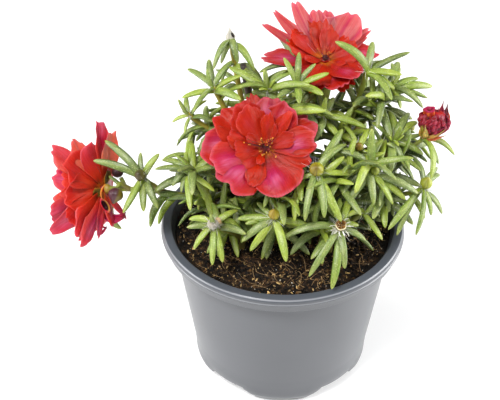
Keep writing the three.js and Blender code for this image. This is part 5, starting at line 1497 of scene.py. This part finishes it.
def make_spent():
    """The withered bloom: a barrel of crumpled petals in two layers, each a patch of the barrel at its own height and
    angle that sines of random phase crease, with torn spikes, a rolled petal on top and dry sepals round it."""
    at, rng, spent = seat_of(SPENT_ON)[0], np.random.default_rng(14), Surfaces()
    right, front = np.array((1.0, 0, 0)), np.array((0, -0.79, 0.61))
    axis = unit((0.24, 0.3, 0.92))
    across = unit(right - axis * (right @ axis))
    away = np.cross(axis, across)
    foot = at + 2.0 * right - 0.2 * CLOCK_UP
    heights, girths = (0, 1.2, 3, 6, 9, 11, 12.5), (1.8, 3.2, 4.6, 5.9, 5.9, 5.2, 4.4)

    def spot(x, y, z):
        return at + x * right + y * CLOCK_UP + z * front

    core = [(0.01, 0)] + [(0.92 * r, 0.88 * h) for h, r in zip(heights, girths)]
    core += [(2.6, 12.2), (1.2, 11.6), (0.01, 12.0)]
    turned(spent, core, foot, axis, 32, np.array([DARK] * 6 + [WINE, WINE, SCARLET, WINE, DARK]),
           relief=lambda a, row: 1 + 0.05 * np.sin(4 * a + row) + 0.12 * np.sin(7 * a + 2 * row) * (row > 6))
    for number in range(SPENT_PETALS):
        turn = math.radians(GOLDEN * number)
        base, length = rng.uniform(0, 3), rng.uniform(7.5, 10)
        spread, twist, gap = rng.uniform(0.5, 0.9), rng.uniform(0.1, 1.1), 0.2 + 0.06 * number
        f, tone = rng.uniform(0, 6.28, 6), rng.uniform()
        torn, top_left = 0.3 if number % 3 == 0 else 0.1, max(0, math.cos(turn - 3.6)) ** 2

        def crease(s, q):
            return (0.5 * np.sin(3.6 * q + f[0] + 6 * s) + 0.4 * np.sin(7.5 * q + f[1] - 9 * s)
                    + 0.35 * np.sin(14 * s + f[2] + 6 * q) + 0.2 * np.sin(15 * q + f[5] + 4 * s))

        def surface(s, q):
            h = base + length * s * (1 - torn * np.abs(np.sin(4 * q + f[3])) ** 0.7 - 0.05 * np.sin(13 * q + f[4]))
            a = turn + spread * q * (0.45 + 0.55 * np.sin(math.pi * (0.15 + 0.7 * s))) + twist * s
            r = np.interp(h, heights, girths) + gap + crease(s, q) * (0.35 + 0.65 * s)
            out = across * np.cos(a)[..., None] + away * np.sin(a)[..., None]
            return foot + axis * h[..., None] + out * r[..., None]

        # The creases' ridges are painted a faded pink as a painted highlight, and their hollows dark as painted shade.
        def look(s, q):
            fold = crease(s, q)
            return layered(WINE, (DARK, 0.35 * tone + 0 * s), (SCARLET, 0.5 * top_left * smooth(0.4, 0.8, s)),
                           (FADED_AND_HIGHLIGHT, 0.75 * smooth(0.3, 1.1, fold)), (DARK, 0.85 * smooth(0.1, -0.7, fold)),
                           (DARK, 0.4 * smooth(0.93, 1, s)))

        add_petal(spent, surface, tone, look)
    for *places, half_width, inside, edge in STRIPS:
        line = np.array([spot(*place) for place in places])
        side = unit(np.cross(line[2] - line[0], front))
        f = rng.uniform(0, 6.28, 3)

        def strip(s, q):
            w = half_width * (0.55 + 0.45 * np.sin(4.5 * s + 0.4)) * (1 - 0.85 * s ** 4)
            lift = 0.35 * np.sin(6 * q + f[0] + 6 * s) + 0.2 * np.sin(13 * s + f[1]) - 0.3 * q * q
            back = 1 - 0.12 * np.abs(np.sin(3 * q + f[2]))
            return quadratic(line, s * back) + side * (w * q)[..., None] + front * lift[..., None]

        def shade(s, q):
            fold = (0.5 + 0.5 * np.sin(6 * q + f[0] + 6 * s)) ** 2
            return layered(inside, (edge, 0.8 * smooth(0.5, 1, np.abs(q))), (DARK, 0.35 * fold))

        add_petal(spent, strip, rng.uniform(), shade)
    roll = [(0.01, -5.2), (2.2, -5.0), (2.7, -2.4), (2.6, -0.6), (2.8, 0), (2.5, 0.4), (1.7, 0.1), (1.1, -0.6),
            (0.01, -1.0)]
    rows = np.array([SCARLET] * 4 + [colour(150, 30, 68)] * 3 + [WINE, DARK])[:, None]
    glow = 0.9 * (0.5 + 0.5 * np.sin(5 * circle(30))) ** 2 * (np.arange(9) < 4)[:, None]
    turned(spent, roll, spot(0.9, 11.5, 6.4), (-0.1, 0.1, 0.97), 30, mixed(rows, AMBER, glow),
           relief=lambda a, row: 1 + 0.09 * np.sin(5 * a + 0.5) + 0.07 * np.sin(3 * a + 0.4 * row))
    put("withered_petals", spent, [PETAL_SKIN], "bloom_spent")


# ---- Camera, floor and light ----
CAMERA_ELEVATION = 37.6
CAMERA_DISTANCE = 600
CAMERA_LENS = 88.6
FLOOR_HALF = 4.0
# Lights as (name, kind, size in metres or angle in radians, power, place in metres).
LIGHTS = [("left_panel", "AREA", 0.7, 8.0, (-0.95, 0.0, 0.45)), ("right_panel", "AREA", 0.7, 13.0, (0.95, 0.05, 0.4)),
          ("overhead", "SUN", math.radians(60), 1.0, (-0.1, -0.3, 1.2)),
          ("key", "AREA", 0.3, 15.0, (-0.42, -0.62, 1.2))]


def hang(name, data, place, way):
    """Puts up a camera or a light, in metres, that looks along a way."""
    made = bpy.data.objects.new(name, data)
    made.location, made.rotation_mode = place, "QUATERNION"
    made.rotation_quaternion = way.to_track_quat("-Z", "Y")
    bpy.context.scene.collection.objects.link(made)
    return made


def make_stage():
    """A camera above the front, a pale floor, soft lights at both sides and above, and a pale surround."""
    e = math.radians(CAMERA_ELEVATION)
    back, camera = Vector((0, -math.cos(e), math.sin(e))), bpy.data.cameras.new("camera")
    camera.lens, camera.sensor_width = CAMERA_LENS, 36
    bpy.context.scene.camera = hang("camera", camera, Vector(CAMERA_TARGET * MM) + back * CAMERA_DISTANCE * MM, -back)
    for name, kind, size, power, place in LIGHTS:
        light = bpy.data.lights.new(name, kind)
        light.energy = power
        setattr(light, "angle" if kind == "SUN" else "size", size)
        hang(name, light, place, Vector((0, 0, 0.1)) - Vector(place))

    mesh = bpy.data.meshes.new("floor")
    corners = [(x * FLOOR_HALF, y * FLOOR_HALF, 0) for x, y in ((-1, -1), (1, -1), (1, 1), (-1, 1))]
    mesh.from_pydata(corners, [], [(0, 1, 2, 3)])
    floor = bpy.data.objects.new("floor", mesh)
    paint = bpy.data.materials.new("pale_floor")
    paint.use_nodes = True
    fill(paint.node_tree.nodes["Principled BSDF"], {
        "Roughness": 0.9, "Base Color": (0.62, 0.62, 0.62, 1), "Emission Color": (1, 1, 1, 1),
        "Emission Strength": 0.42})
    mesh.materials.append(paint)
    bpy.context.scene.collection.objects.link(floor)

    world = bpy.data.worlds.new("surround")
    world.use_nodes = True
    fill(world.node_tree.nodes["Background"], {"Color": (1, 1, 1, 1), "Strength": 0.3})
    bpy.context.scene.world = world
    bpy.context.scene.view_settings.view_transform = "Standard"


lay_stems()
note_shown()
crown = grow()
sides = grow_fine(crown)
make_pot()
make_soil()
make_soil_bits()
make_plants(crown.leaves, sides)
make_hairs()
make_blooms()
make_buds()
make_capsule()
make_dry_cap()
make_spent()
make_stage()
